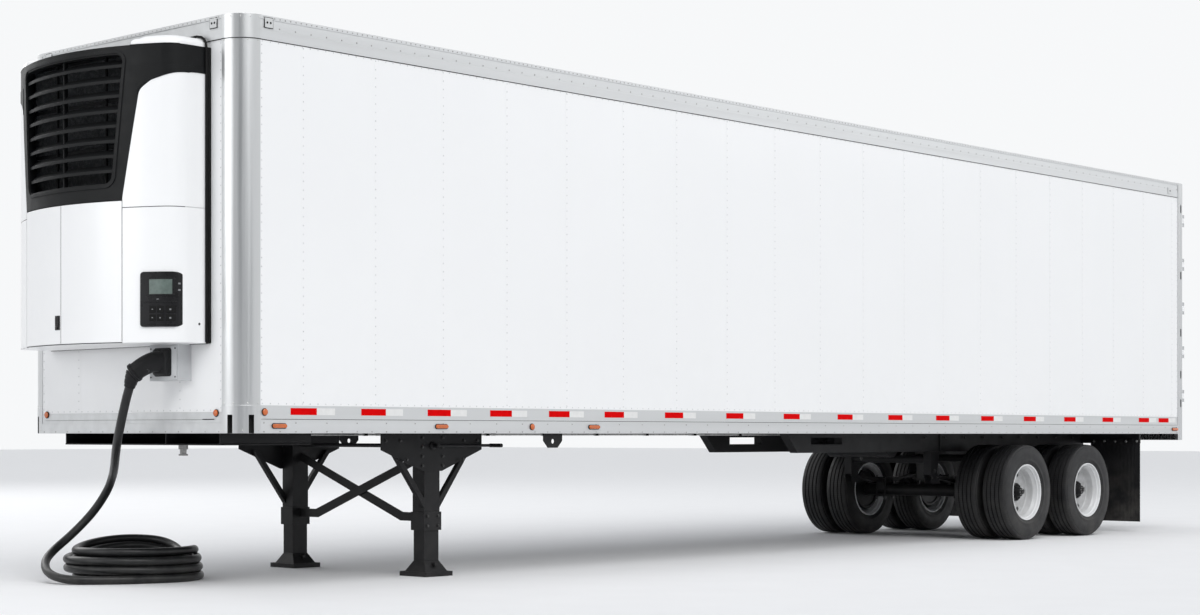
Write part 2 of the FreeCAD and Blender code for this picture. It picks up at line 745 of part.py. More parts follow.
def axle(name, place):
    """An axle tube with its brake shields, cam tubes, air chambers, spring seats and U-bolts."""
    reach = "(wheel_half_track-drum_length-hub_tail-axle_end_gap)"
    tube = rod(name + "_tube", "axle_tube_radius", (place, "-" + reach, "tyre_radius"), Y_AXIS,
               "2*" + reach)
    shield_y = "(wheel_half_track-shield_setback)"
    seat_ends = (place + "-spring_seat_length/2", place + "+spring_seat_length/2")
    clamp_sides = ("spring_inner-2*u_bolt_radius", "spring_outer+2*u_bolt_radius")
    anchor_low = "(tyre_radius-axle_tube_radius-spring_leaf)"
    chamber_front = place + "-chamber_setback"
    pieces = [
        rod(name + "_shield", "shield_radius", (place, shield_y, "tyre_radius"), Y_AXIS, "shield_plate"),
        box(name + "_seat", seat_ends, ("spring_inner", "spring_outer"), ("tyre_radius", "spring_bottom")),
        box(name + "_clamp", seat_ends, clamp_sides, ("spring_clamp", "spring_clamp+spring_leaf")),
        box(name + "_anchor", seat_ends, clamp_sides, (anchor_low, anchor_low + "+2*spring_leaf")),
        rod(name + "_chamber", "chamber_radius",
            (chamber_front + "-chamber_length", "chamber_y", "tyre_radius+chamber_radius/2"), X_AXIS,
            "chamber_length"),
        box(name + "_bracket", (chamber_front, place), ("chamber_y-spring_leaf", "chamber_y+spring_leaf"),
            ("tyre_radius-axle_tube_radius/2", "tyre_radius+chamber_radius")),
        rod(name + "_cam", "cam_tube_radius",
            (place + "-axle_tube_radius-cam_tube_gap", "chamber_y", "tyre_radius"), Y_AXIS,
            shield_y + "-chamber_y"),
    ]
    bolt_x = "(spring_seat_length/2-2*u_bolt_radius)"
    for corner, (sign, side) in enumerate((sign, side) for sign in "-+"
                                          for side in ("spring_inner-u_bolt_radius",
                                                       "spring_outer+u_bolt_radius")):
        pieces.append(rod("%s_u_bolt_%d" % (name, corner), "u_bolt_radius",
                          (place + sign + bolt_x, side, anchor_low), Z_AXIS,
                          "spring_clamp+2*spring_leaf-" + anchor_low))
    left = joined(name + "_left_set", *pieces)
    node(name, joined(name + "_whole", tube, left, mirrored(name + "_right_set", left)))


def leaf_spring(name, place):
    """Three arched leaves of falling length between two hangers, from the side."""
    half = "(axle_spread/2-spring_end_gap)"
    def point(share, drop):
        return ("%.2f*%s" % (share, half), "spring_top-(%s)+spring_camber*%.4f" % (drop, share ** 2))
    shares = [-1 + index / 6 for index in range(13)]
    upper = [point(share, "0") for share in shares]
    lower = []
    for leaf, stretch in ((1, (1.0, 0.83)), (2, (0.83, 0.5)), (3, (0.5, -0.5)), (2, (-0.5, -0.83)),
                          (1, (-0.83, -1.0))):
        steps = 2 if leaf < 3 else 6
        for step in range(steps + 1):
            share = stretch[0] + (stretch[1] - stretch[0]) * step / steps
            lower.append(point(share, "%d*spring_leaf" % leaf))
    spring = prism(name, "XZ", tuple(upper + lower), "spring_inner+spring_leaf/2",
                   "spring_outer-spring_leaf/2")
    bind(spring, "Placement.Base.x", place)
    return spring


def hanger(name, place, outline):
    """A pair of spring hangers and the tube across them; the spring runs in a slot of each."""
    block = prism(name + "_block", "XZ", outline, "spring_inner", "spring_outer")
    bind(block, "Placement.Base.x", place)
    slot = box(name + "_slot", (place + "-500", place + "+500"),
               ("spring_inner+hanger_cheek", "spring_outer-hanger_cheek"), ("hanger_foot-1", "spring_end"))
    left = cut(name + "_left", block, slot)
    tube = rod(name + "_tube", "hanger_tube_radius",
               (place, "-spring_inner-1", "bogie_rail_bottom-2*hanger_tube_radius"), Y_AXIS,
               "2*spring_inner+2")
    return joined(name, left, mirrored(name + "_right", left), tube)


def bogie():
    bottom, start, end = "bogie_rail_bottom", "front_x-bogie_rail_start", "front_x-bogie_rail_end"
    outline = ((start, "rail_underside"), (start + "-bogie_nose_slope", bottom), (end, bottom),
               (end, "rail_underside"))
    rail = prism("bogie_rail", "XZ", outline, "spring_inner", "spring_outer")
    slot = box("bogie_slot", ("front_x-bogie_slot_start-bogie_slot_length", "front_x-bogie_slot_start"),
               ("spring_inner-1", "spring_outer+1"),
               ("bogie_slot_bottom", "bogie_slot_bottom+bogie_slot_height"))
    joint = "front_x-bogie_joint"
    strap = box("bogie_joint_strap", (joint + "-bogie_joint_plate", joint + "+bogie_joint_plate"),
                ("spring_outer", "spring_outer+bogie_joint_plate"), (bottom, "rail_underside"))
    both_sides("bogie_rails", joined("bogie_rail_whole", cut("bogie_rail_slotted", rail, slot), strap))
    axle("front_axle", "front_axle_x")
    axle("rear_axle", "rear_axle_x")
    wide, narrow = "hanger_top_length/2", "hanger_foot_length/2"
    rise = "(bogie_rail_bottom-hanger_foot)"
    swept = ((narrow, bottom), ("-" + wide, bottom), ("-0.8*" + wide, "hanger_foot+0.65*" + rise),
             ("-0.6*" + wide, "hanger_foot+0.35*" + rise), ("-0.8*" + wide, "hanger_foot+0.15*" + rise),
             ("-1.2*" + wide, "hanger_foot"), ("0.7*" + narrow, "hanger_foot"),
             (narrow, "hanger_foot+0.35*" + rise))
    straight = ((wide, bottom), ("-" + wide, bottom), ("-" + narrow, "hanger_foot"),
                (narrow, "hanger_foot"))
    node("spring_hangers", group(
        "hanger_row", hanger("front_hanger", "front_axle_x+axle_spread/2", swept),
        hanger("middle_hanger", "front_axle_x-axle_spread/2", straight),
        hanger("rear_hanger", "rear_axle_x-axle_spread/2", straight)))
    both_sides("leaf_springs", group("spring_row", leaf_spring("front_spring", "front_axle_x"),
                                     leaf_spring("rear_spring", "rear_axle_x")))
    tank_x = "(front_axle_x+axle_spread/2+air_tank_offset)"
    tank_z = "rail_underside-air_tank_radius-air_tank_gap"
    tank = rod("air_tank_shell", "air_tank_radius", (tank_x, "-air_tank_length/2", tank_z), Y_AXIS,
               "air_tank_length")
    half = "air_tank_saddle/2"
    saddles = [box("air_tank_saddle_%d" % index, (tank_x + "-" + half, tank_x + "+" + half),
                   ("%sair_tank_length/3-%s" % (sign, half), "%sair_tank_length/3+%s" % (sign, half)),
                   (tank_z, "rail_underside")) for index, sign in enumerate(("-", ""))]
    node("air_tank", joined("air_tank_whole", tank, *saddles))


def tyre(name, middle):
    """A tyre's closed outline about Y, its middle at a formula."""
    half, tread = "tyre_width/2", "tyre_tread_width/2"
    seat = "rim_half_width-rim_flange_width"
    rise = "(tyre_radius-tyre_bead_radius)"
    right = ((seat, "tyre_bead_radius"), (seat, "rim_flange_radius+2"),
             (half + "*0.90", "tyre_bead_radius+0.16*" + rise),
             (half + "*0.98", "tyre_bead_radius+0.32*" + rise),
             (half, "tyre_bead_radius+0.50*" + rise), (half + "*0.98", "tyre_bead_radius+0.63*" + rise),
             (half + "*0.93", "tyre_bead_radius+0.76*" + rise),
             (half + "*0.88", "tyre_bead_radius+0.87*" + rise),
             (tread, "tyre_radius-13"), (tread + "-12", "tyre_radius-5"), (tread + "-34", "tyre_radius"))
    outline = tuple(("(%s)+(%s)" % (middle, u), v) for u, v in right)
    outline += tuple(("(%s)-(%s)" % (middle, u), v) for u, v in reversed(right))
    return turned(name, outline, "Y")


HAND_HOLES = 5


def wheel_set():
    """A pair of tyres, and two disc wheels with the hub and drum, turned about Y at the origin.

    y counts outward from the plane where the two discs meet.
    """
    tyres = group("tyre_pair", tyre("outer_tyre", "dual_half_spacing"),
                  tyre("inner_tyre", "-dual_half_spacing"))
    flange_out, flange_in = "dual_half_spacing+rim_half_width", "dual_half_spacing-rim_half_width"
    seat = "rim_flange_width"
    bead, well = "tyre_bead_radius", "rim_well_radius"
    inside = "rim_well_radius-rim_plate"
    rim = ((flange_out, "rim_flange_radius"), (flange_out + "-" + seat, "rim_flange_radius"),
           (flange_out + "-" + seat, bead), (flange_out + "-rim_seat_width", bead),
           ("dual_half_spacing+rim_well_half", well), ("dual_half_spacing-rim_well_half", well),
           (flange_in + "+rim_well_half", bead), (flange_in + "+" + seat, bead),
           (flange_in + "+" + seat, "rim_flange_radius"), (flange_in, "rim_flange_radius"),
           (flange_in, inside), ("disc_plate", "dish_radius+rim_plate/2"), ("0", "dish_radius"),
           ("0", "hub_radius"), ("disc_plate", "hub_radius"), ("disc_plate", "dish_radius-rim_plate/2"),
           (flange_in + "+rim_well_half", inside + "-rim_plate"),
           ("dual_half_spacing+rim_well_half", inside), (flange_out + "-rim_well_half", bead + "-rim_plate"),
           (flange_out, bead + "-2"))
    disc = turned("outer_disc_blank", rim, "Y")
    holes = []
    for index in range(HAND_HOLES):
        turn = 2 * math.pi * (index + 0.25) / HAND_HOLES
        holes.append(rod("hand_hole_%d" % index, "hand_hole_radius",
                         ("hand_hole_circle*%.9f" % math.cos(turn), "-1",
                          "hand_hole_circle*%.9f" % math.sin(turn)), Y_AXIS, flange_in + "+31"))
    outer = cut("outer_disc_wheel", disc, group("hand_holes", *holes))
    inner = mirrored("inner_disc_wheel", outer)
    tail, wall = "-drum_length-hub_tail", "drum_wall"
    hub = turned("hub", ((tail, "0"), ("hub_length", "0"), ("hub_length", "hub_cap_radius"),
                         ("hub_length-hub_cap_depth", "hub_cap_radius"),
                         ("hub_length-hub_cap_depth-hub_cone", "hub_radius"),
                         ("-drum_setback", "hub_radius"), ("-drum_setback", "drum_radius"),
                         ("-drum_setback-drum_length", "drum_radius"),
                         ("-drum_setback-drum_length", "drum_radius-" + wall),
                         ("-drum_setback-" + wall, "drum_radius-" + wall),
                         ("-drum_setback-" + wall, "hub_radius"), (tail, "hub_radius")), "Y")
    return tyres, joined("disc_wheels_and_hub", outer, inner, hub)


def wheels():
    tyres, rims = wheel_set()
    for end, axle in (("front", "front_axle_x"), ("rear", "rear_axle_x")):
        for side, sign in (("left", ""), ("right", "-")):
            for kind, source in (("tyres", tyres), ("wheels", rims)):
                name = "%s_%s_%s" % (end, side, kind)
                if side == "right":
                    twin = mirrored(name + "_place", source)
                else:
                    twin = DOC.addObject("Part::Compound", name + "_place")
                    twin.Links = [source]
                node(name, move(twin, axle, sign + "wheel_half_track", "tyre_radius"))


def mud_flaps():
    inner = "half_width-flap_width-10"
    both_sides("mud_flaps", box("mud_flap", ("flap_x", "flap_x+flap_plate"), (inner, "half_width-10"),
                                ("flap_bottom", "rail_underside-60")))
    both_sides("mud_flap_brackets", box("flap_bracket", ("flap_x-30", "flap_x"),
                                        ("bogie_rail_half_track+bogie_rail_width/2", "half_width-20"),
                                        ("rail_underside-110", "rail_underside")))


def envelope(name, inset, low, high):
    """The refrigeration unit's bowed outline at a depth below its skin, between two heights."""
    bow = rod(name + "_bow", "unit_bow_radius-(%s)" % inset,
              ("unit_front-unit_bow_radius", "0", low), Z_AXIS, "(%s)-(%s)" % (high, low))
    slab = box(name + "_slab", ("unit_rear", "unit_front+50"),
               ("-(unit_half_width-(%s))" % inset, "unit_half_width-(%s)" % inset), (low, high))
    sharp = shared(name + "_sharp", bow, slab)
    DOC.recompute()
    radius = number("unit_corner_radius-(%s)" % inset)
    beyond = number("unit_rear") + 1
    rounded = DOC.addObject("Part::Fillet", name)
    rounded.Base = sharp
    rounded.Edges = [(index, radius, radius) for index, edge in enumerate(sharp.Shape.Edges, 1)
                     if len(edge.Vertexes) == 2
                     and abs(edge.tangentAt(edge.FirstParameter).z) > 0.99
                     and edge.CenterOfMass.x > beyond]
    return rounded


def shell(name, outer, inner, low, high):
    return cut(name, envelope(name + "_outside", outer, low, high),
               envelope(name + "_inside", inner, low + "-1", high + "+1"))


def front_view(name, outline):
    """A cutter with an outline seen from the front."""
    return prism(name, "YZ", outline, "front_x", "unit_front+100")


def opening(name, spread):
    """A cutter the size of the grille opening, widened all round by a formula."""
    half_low, half_high = "(grille_bottom_half+%s)" % spread, "(grille_top_half+%s)" % spread
    low, high = "grille_bottom-%s" % spread, "grille_top+%s" % spread
    block = front_view(name + "_block", symmetric(((half_low, low), (half_high, high))))
    corners = [("x", sign + u, v, radius + spread) for sign in ("", "-")
               for u, v, radius in ((half_low, low, "grille_low_corner+"),
                                    (half_high, high, "grille_high_corner+"))]
    return rounded(name, block, corners)


def symmetric(right):
    return tuple(right) + tuple(("-(%s)" % u, v) for u, v in reversed(tuple(right)))


def grille():
    """The black surround with its raised bead, and the bowed louvres in its opening."""
    shoulder = ("surround_shoulder_y", "surround_shoulder_z")
    knee = ("surround_knee_y", "surround_knee_z")
    beyond = "unit_half_width+50"
    sharp = front_view("surround_sharp", symmetric((
        ("unit_door_half_width", "unit_door_top"), knee, shoulder,
        (beyond, "surround_shoulder_z"), (beyond, "unit_top+1"))))
    corners = [("x", sign + u, v, radius) for sign in ("", "-")
               for (u, v), radius in ((knee, "surround_knee_radius"),
                                      (shoulder, "surround_shoulder_radius"))]
    face = rounded("surround_outline", sharp, corners)
    deep = shell("unit_deep_shell", "0", "surround_depth", "unit_bottom", "unit_top")
    gap = opening("grille_opening", "0")
    ring = cut("surround_ring", shared("surround_face", deep, face), gap)
    proud = shell("bead_shell", "-grille_bead_stand", "unit_skin", "unit_door_top", "unit_top")
    band = cut("bead_band", opening("bead_outside", "grille_bead*1.5"),
               opening("bead_inside", "grille_bead*0.5"))
    node("grille_surround", joined("surround_whole", ring, shared("bead", proud, band)))
    nose = "unit_bow_radius-louvre_setback"
    tail = nose + "-louvre_reach"
    blades = []
    for index in range(int(number("louvre_count"))):
        low = "grille_bottom+louvre_first-louvre_nose/2+%d*louvre_pitch" % index
        rise = low + "+louvre_rise"
        blade = turned("louvre_%d" % index, (
            (nose, low), (nose, low + "+louvre_nose"),
            (nose + "-louvre_plate", low + "+louvre_nose+louvre_plate/3"),
            (tail, rise + "+louvre_plate+louvre_nose"), (tail, rise + "+louvre_nose"),
            (nose + "-louvre_plate", low + "+louvre_plate/2")), "Z")
        blades.append(move(blade, "unit_front-unit_bow_radius"))
    bar = box("louvre_divider", ("unit_front-surround_depth+1", "unit_front-louvre_setback-louvre_plate*2"),
              ("-divider_half_width", "divider_half_width"), ("grille_bottom", "grille_top"))
    bowed = shared("louvre_set", group("louvre_rings", *blades), gap)
    node("grille_louvres", joined("louvres_whole", bowed, bar))
    return face


def unit_casing():
    back = box("unit_back_plate", ("front_outer", "unit_rear"),
               ("-unit_half_width-12", "unit_half_width+12"), ("unit_bottom", "unit_top"))
    pan = envelope("unit_pan", "unit_skin+unit_door_clearance", "unit_bottom", "unit_bottom+lid_plate")
    lid = envelope("unit_lid", "surround_depth", "unit_top-lid_plate", "unit_top")
    condenser = box("condenser_block", ("unit_rear", "unit_front-condenser_setback"),
                    ("-condenser_half_width", "condenser_half_width"),
                    ("unit_door_top+surround_depth", "unit_top-lid_plate"))
    node("unit_frame", joined("unit_frame_whole", back, pan, lid, condenser))
    node("unit_engine", box("engine_block", ("unit_rear", "unit_rear+330"), ("-450", "450"),
                            ("unit_bottom+100", "unit_door_top-150")))


def dome(name):
    """The rounded white hood on top of a side cover."""
    top_z = "unit_top+dome_height"
    blank = shared(name + "_blank", envelope(name + "_outline", "dome_inset", "unit_top", top_z),
                   box(name + "_limits", ("front_x", "unit_front"), ("dome_inner", "unit_half_width"),
                       ("unit_top", top_z)))
    DOC.recompute()
    top, radius = number(top_z), number("dome_radius")
    rear = number("unit_rear") + 1
    soft = DOC.addObject("Part::Fillet", name)
    soft.Base = blank
    soft.Edges = [(index, radius, radius) for index, edge in enumerate(blank.Shape.Edges, 1)
                  if all(abs(corner.Z - top) < 0.01 for corner in edge.Vertexes)
                  and edge.CenterOfMass.x > rear]
    return soft


def control_panel():
    bezel = shell("bezel_shell", "-panel_stand", "0", "unit_bottom", "unit_top")
    def limits(name, kind):
        low_y, high_y, low_z, high_z = (kind + end for end in ("_inner", "_outer", "_bottom", "_top"))
        return front_view(name, ((low_y, low_z), (high_y, low_z), (high_y, high_z), (low_y, high_z)))

    corners = [("x", u, v, "panel_corner") for u in ("panel_inner", "panel_outer")
               for v in ("panel_bottom", "panel_top")]
    soft = rounded("panel_limits", limits("panel_block", "panel"), corners)
    pocket = shell("screen_shell", "-panel_stand-screen_depth", "screen_depth-panel_stand", "unit_bottom",
                   "unit_top")
    screen = shared("screen_pocket", pocket, limits("screen_limits", "screen"))
    node("control_panel", cut("control_panel_face", shared("control_panel_plate", bezel, soft), screen))


def refrigeration_unit():
    face = grille()
    unit_casing()
    skin = shell("unit_shell", "0", "unit_skin", "unit_bottom", "unit_top")
    outside = front_view("cover_limits", (("unit_door_half_width+unit_gap/2", "unit_bottom"),
                                          ("unit_half_width+50", "unit_bottom"),
                                          ("unit_half_width+50", "unit_top"),
                                          ("unit_door_half_width+unit_gap/2", "unit_top")))
    seam = shell("cover_seam_ring", "-1", "cover_seam", "cover_seam_height", "cover_seam_height+cover_seam")
    cover = cut("left_cover_skin", cut("left_cover_plain", shared("cover_side", skin, outside), face), seam)
    whole = group("left_cover_set", cover, dome("left_dome"))
    node("left_unit_cover", whole)
    node("right_unit_cover", mirrored("right_cover_set", whole))
    door_limits = front_view("unit_door_limits", (
        ("unit_gap/2", "unit_bottom+unit_gap"), ("unit_door_half_width-unit_gap/2", "unit_bottom+unit_gap"),
        ("unit_door_half_width-unit_gap/2", "unit_door_top-unit_gap"),
        ("unit_gap/2", "unit_door_top-unit_gap")))
    door = shared("left_unit_door_skin", skin, door_limits)
    node("left_unit_door", door)
    node("right_unit_door", mirrored("right_unit_door_skin", door))
    control_panel()


def rear_door():
    """The left door, with its strap hinges."""
    door = box("left_door_panel", ("door_face", "door_face+door_thickness"), ("door_gap/2", "door_outer"),
               ("door_bottom", "door_top"))
    hinges, butts = [], []
    count = 5
    for index in range(count):
        share = "%d/%d" % (2 * index + 1, 2 * count)
        middle = "(door_bottom+(door_top-door_bottom)*%s)" % share
        low, high = middle + "-knuckle_length/2", middle + "+knuckle_length/2"
        hinges.append(box("strap_%d" % index, ("door_face-hinge_leaf", "door_face"),
                          ("door_outer-strap_length", "pin_y-12"), (low, high)))
        hinges.append(box("strap_web_%d" % index, ("pin_x", "door_face"), ("pin_y-12", "pin_y+12"),
                          (low, high)))
        hinges.append(rod("knuckle_%d" % index, "knuckle_radius", ("pin_x", "pin_y", low), Z_AXIS,
                          "knuckle_length"))
        for end, (bottom, top) in (("low", (low + "-knuckle_gap-40", low + "-knuckle_gap")),
                                   ("high", (high + "+knuckle_gap", high + "+knuckle_gap+40"))):
            name = "butt_%d_%s" % (index, end)
            butts.append(joined(name, rod(name + "_knuckle", "knuckle_radius", ("pin_x", "pin_y", bottom),
                                          Z_AXIS, "40"),
                                box(name + "_web", ("pin_x", "rear_x"), ("pin_y-12", "pin_y+12"),
                                    (bottom, top))))
    return joined("left_door_whole", door, *hinges), butts


def rear_doors():
    left, butts = rear_door()
    node("left_rear_door", left)
    node("right_rear_door", mirrored("right_door_whole", left))
    both_sides("door_hinge_butts", group("butt_row", *butts))
    rods = []
    for name, place in (("inner", "lock_rod_inner"), ("outer", "lock_rod_outer")):
        bar = rod("lock_rod_" + name, "lock_rod_radius", ("door_face-lock_rod_standoff", place,
                                                          "door_bottom+20"), Z_AXIS,
                  "door_top-door_bottom-40")
        clamps = [box("lock_rod_%s_clamp_%d" % (name, index), ("door_face-lock_rod_standoff", "door_face"),
                      (place + "-14", place + "+14"), (height, height + "+50"))
                  for index, height in enumerate(("door_bottom+80", "door_bottom+700",
                                                  "door_top-700", "door_top-130"))]
        grip = "(door_bottom+lock_handle_height)"
        rod_x = "door_face-lock_rod_standoff"
        handle = box("lock_handle_" + name, (rod_x + "-lock_handle/5", rod_x + "+lock_handle/5"),
                     (place, place + "+lock_handle_length"), (grip, grip + "+lock_handle"))
        rods.append(joined("lock_rod_%s_whole" % name, bar, handle, *clamps))
    left_rods = group("left_lock_rod_pair", *rods)
    node("left_lock_rods", left_rods)
    node("right_lock_rods", mirrored("right_lock_rod_pair", left_rods))


# The cable's free runs: offsets from the front face, the middle and the ground.
HANGING_RUN = (
    (311, 417, 1501), (297, 375, 1386), (246, 285, 1220), (140, 136, 1074), (-11, -66, 960),
    (-187, -300, 873), (-343, -540, 812), (-360, -720, 700), (-266, -870, 565), (-105, -945, 420),
    (72, -930, 285), (221, -832, 175), (308, -677, 98), (317, -499, 50), (247, -335, 33),
    (87, -199, 33), (-90, -93, 33), (-286, -38, 33))
COIL_CENTRE = (-454, -513)
COIL_OUTER, COIL_INNER, COIL_WALL, COIL_TOP = 540, 365, 212, 280
TAIL_RUN = (  # degrees round the coil, radius, height
    (95, 405, 247), (118, 425, 262), (142, 465, 284), (165, 525, 284), (187, 590, 225),
    (208, 625, 140), (228, 635, 70), (247, 630, 45))


def bent_tube(name, points, radius):
    """A tube of straight runs and tangent arcs; its radii and its length are printed."""
    corners = [Vector(*point) for point in points]
    edges, radii, start = [], [], corners[0]
    for before, corner, after in zip(corners, corners[1:], corners[2:]):
        arriving, leaving = corner - before, after - corner
        half_turn = arriving.getAngle(leaving) / 2
        reach = 0.45 * min(arriving.Length, leaving.Length)
        radii.append(reach / math.tan(half_turn))
        arriving.normalize()
        leaving.normalize()
        first, last = corner - arriving * reach, corner + leaving * reach
        inward = (leaving - arriving).normalize()
        middle = corner + inward * (radii[-1] / math.cos(half_turn) - radii[-1])
        edges.append(Part.LineSegment(start, first).toShape())
        edges.append(Part.Arc(first, middle, last).toShape())
        start = last
    edges.append(Part.LineSegment(start, corners[-1]).toShape())
    path = Part.Wire(edges)
    ring = Part.Wire(Part.Circle(corners[0], corners[1] - corners[0], radius).toShape())
    solid = path.makePipeShell([ring], True, False)
    share = solid.Volume / (math.pi * radius ** 2 * path.Length)
    print("%s: length %.0f, least radius %.0f, volume share %.3f" % (name, path.Length, min(radii), share))
    print("  radii " + " ".join("%.0f" % value for value in radii))
    tube = DOC.addObject("Part::Feature", name)
    tube.Shape = solid
    return tube


def cable():
    radius = number("cable_radius")
    front = number("front_x")
    run = [(front + x, y, z) for x, y, z in HANGING_RUN]
    node("cable", bent_tube("cable_tube", run, radius))
    cx, cy = front + COIL_CENTRE[0], COIL_CENTRE[1]
    coil = turned("coil_ring", ((COIL_INNER, "0"), (COIL_OUTER, "0"), (COIL_OUTER, COIL_WALL),
                                (COIL_OUTER - 90, COIL_TOP), (COIL_INNER + 5, COIL_TOP),
                                (COIL_INNER, COIL_WALL)), "Z")
    coil.Placement.Base = Vector(cx, cy, 0)
    node("cable_coil", coil)
    tail = [(cx + r * math.cos(math.radians(a)), cy + r * math.sin(math.radians(a)), z)
            for a, r, z in TAIL_RUN]
    node("cable_tail", bent_tube("cable_tail_tube", tail, radius))
    last, before = Vector(*tail[-1]), Vector(*tail[-2])
    onward = (last - before).normalize()
    body = Part.makeCylinder(45, 150, last, Vector(onward.x, onward.y, 0))
    connector = DOC.addObject("Part::Feature", "cable_connector_body")
    connector.Shape = body
    node("cable_connector", connector)


def socket_and_plug():
    high = "socket_box_y+socket_box_width"
    node("socket_box", box("socket_housing", ("front_outer", "front_x+socket_box_depth"),
                           ("socket_box_y", high), ("unit_bottom-socket_box_height", "unit_bottom")))
    base = Vector(number("front_x+socket_box_depth"), number("plug_y"), number("plug_z"))
    flange = Part.makeCylinder(number("plug_flange_radius"), number("plug_flange"), base, X_AXIS)
    centre = base + Vector(number("plug_elbow_reach"), -number("plug_elbow_shift"), 0)
    elbow = number("plug_elbow_radius")
    bend = Part.makeSphere(elbow, centre)
    collar = Vector(number("front_x") + HANGING_RUN[0][0], *HANGING_RUN[0][1:])
    neck = Part.makeCone(elbow - 4, elbow - 16, (collar - centre).Length, centre, collar - centre)
    plug = DOC.addObject("Part::Feature", "plug_body")
    plug.Shape = flange.fuse([bend, neck]).removeSplitter()
    node("cable_plug", plug)


def lamps():
    low = "rail_underside+side_lamp_rise"
    pieces = []
    for index, place in enumerate(("front_x-370", "front_x-2030", "front_x-3840", "rear_x+200")):
        pieces.append(box("side_lamp_%d" % index,
                          (place + "-side_lamp_length/2", place + "+side_lamp_length/2"),
                          ("half_width", "half_width+side_lamp_depth"), (low, low + "+side_lamp_height")))
    both_sides("side_marker_lamps", group("side_lamp_row", *pieces))


def write_parts():
    DOC.recompute()
    faults = [item.Label for item in DOC.Objects
              if {"Invalid", "Error"} & set(item.State)]
    faults += [item.Label for item in NODES
               if item.Shape.isNull() or not item.Shape.isValid() or not item.Shape.Solids]
    if faults:
        raise RuntimeError("not built: " + ", ".join(faults))
    os.makedirs("parts", exist_ok=True)
    for item in NODES:
        item.Shape.exportStep("parts/%s.step" % item.Label)
        print("%-26s %2d solids %9.1f litres" % (item.Label, len(item.Shape.Solids),
                                                 item.Shape.Volume / 1e6))


side_walls()
end_and_roof_panels()
corner_posts()
rails()
rear_frame()
crossmembers()
coupler()
landing_gear()
bogie()
wheels()
mud_flaps()
refrigeration_unit()
rear_doors()
socket_and_plug()
cable()
lamps()
write_parts()
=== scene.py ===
"""Looks of a refrigerated semi trailer: finishes, small hardware and the power cable.

Metres, in the CAD frame: +X forward, +Y the road side (left), +Z up, ground at z = 0.
"""

import json
from math import cos, radians, sin, sqrt

import bmesh
import bpy
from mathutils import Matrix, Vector
from mathutils.geometry import tessellate_polygon


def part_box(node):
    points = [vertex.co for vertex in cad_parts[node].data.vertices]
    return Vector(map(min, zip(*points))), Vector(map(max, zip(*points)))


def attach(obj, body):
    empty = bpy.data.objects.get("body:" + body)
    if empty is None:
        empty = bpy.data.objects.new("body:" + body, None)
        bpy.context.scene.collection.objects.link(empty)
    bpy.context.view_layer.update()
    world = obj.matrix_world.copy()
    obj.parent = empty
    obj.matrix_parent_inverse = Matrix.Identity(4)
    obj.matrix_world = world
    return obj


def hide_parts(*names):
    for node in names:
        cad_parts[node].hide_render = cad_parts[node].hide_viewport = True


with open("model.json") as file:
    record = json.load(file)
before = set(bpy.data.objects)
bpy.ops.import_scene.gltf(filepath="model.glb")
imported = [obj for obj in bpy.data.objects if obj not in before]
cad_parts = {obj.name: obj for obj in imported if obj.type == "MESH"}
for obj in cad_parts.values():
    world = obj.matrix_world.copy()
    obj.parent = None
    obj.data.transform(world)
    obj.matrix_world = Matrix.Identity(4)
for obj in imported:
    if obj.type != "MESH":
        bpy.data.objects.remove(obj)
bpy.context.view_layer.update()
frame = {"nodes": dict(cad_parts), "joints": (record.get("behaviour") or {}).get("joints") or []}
SCENE = bpy.context.scene

# ---- places read from the frame
BODY = "trailer"
SIDES = ("left", "right")
FRONT_X, CORNER_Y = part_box("front_rails")[1].xy
CORNER_X, HALF_WIDTH, RAIL_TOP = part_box("bottom_rails")[1]
BOX_REAR, _, RAIL_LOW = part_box("bottom_rails")[0]
REAR_X = BOX_REAR - 0.110
INNER_Y, WALL_Y = (corner.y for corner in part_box("left_side_wall"))
WALL_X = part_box("front_wall")[1].x
TOP_RAIL_LOW, TOP_Z = (corner.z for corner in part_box("top_rails"))
BAND_Y = HALF_WIDTH - 0.004
SPLIT_Z = RAIL_LOW + 0.100
FLOOR_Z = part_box("floor")[1].z
UNIT_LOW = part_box("unit_frame")[0].z
UNIT_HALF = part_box("left_unit_cover")[1].y
UNIT_FRONT = FRONT_X + 0.602
AXLES = (("front", frame["joints"][0]["pos_m"][0]), ("rear", frame["joints"][2]["pos_m"][0]))
WHEEL_Y, WHEEL_Z = frame["joints"][0]["pos_m"][1:]
LEG_X = sum(corner.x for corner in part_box("landing_shoes")) / 2
LEG_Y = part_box("landing_shoes")[1].y - 0.150


def put(name, data, place=(0, 0, 0)):
    made = bpy.data.objects.new(name, data)
    made.location = place
    SCENE.collection.objects.link(made)
    return made


# ---- camera, floor and light
CAMERA_PLACE = (16.690, 12.759, 1.130)
CAMERA_YAW = -134.95
CAMERA_LENS = 63.6
CAMERA_SHIFT = (0.150, 0.1057)
PALE = (0.93, 0.94, 0.95, 1)


def camera():
    data = bpy.data.cameras.new("camera")
    data.lens, data.sensor_width, data.clip_end = CAMERA_LENS, 36, 400
    data.shift_x, data.shift_y = CAMERA_SHIFT
    SCENE.camera = put("camera", data, CAMERA_PLACE)
    SCENE.camera.rotation_euler = (radians(90), 0, radians(CAMERA_YAW - 90))


def facing(direction):
    return Vector(direction).to_track_quat("-Z", "Y").to_euler()


def lamp(name, place, aim, size, power):
    data = bpy.data.lights.new(name, "AREA")
    data.shape, data.energy = "RECTANGLE", power
    data.size, data.size_y = size
    put(name, data, place).rotation_euler = facing(Vector(aim) - Vector(place))


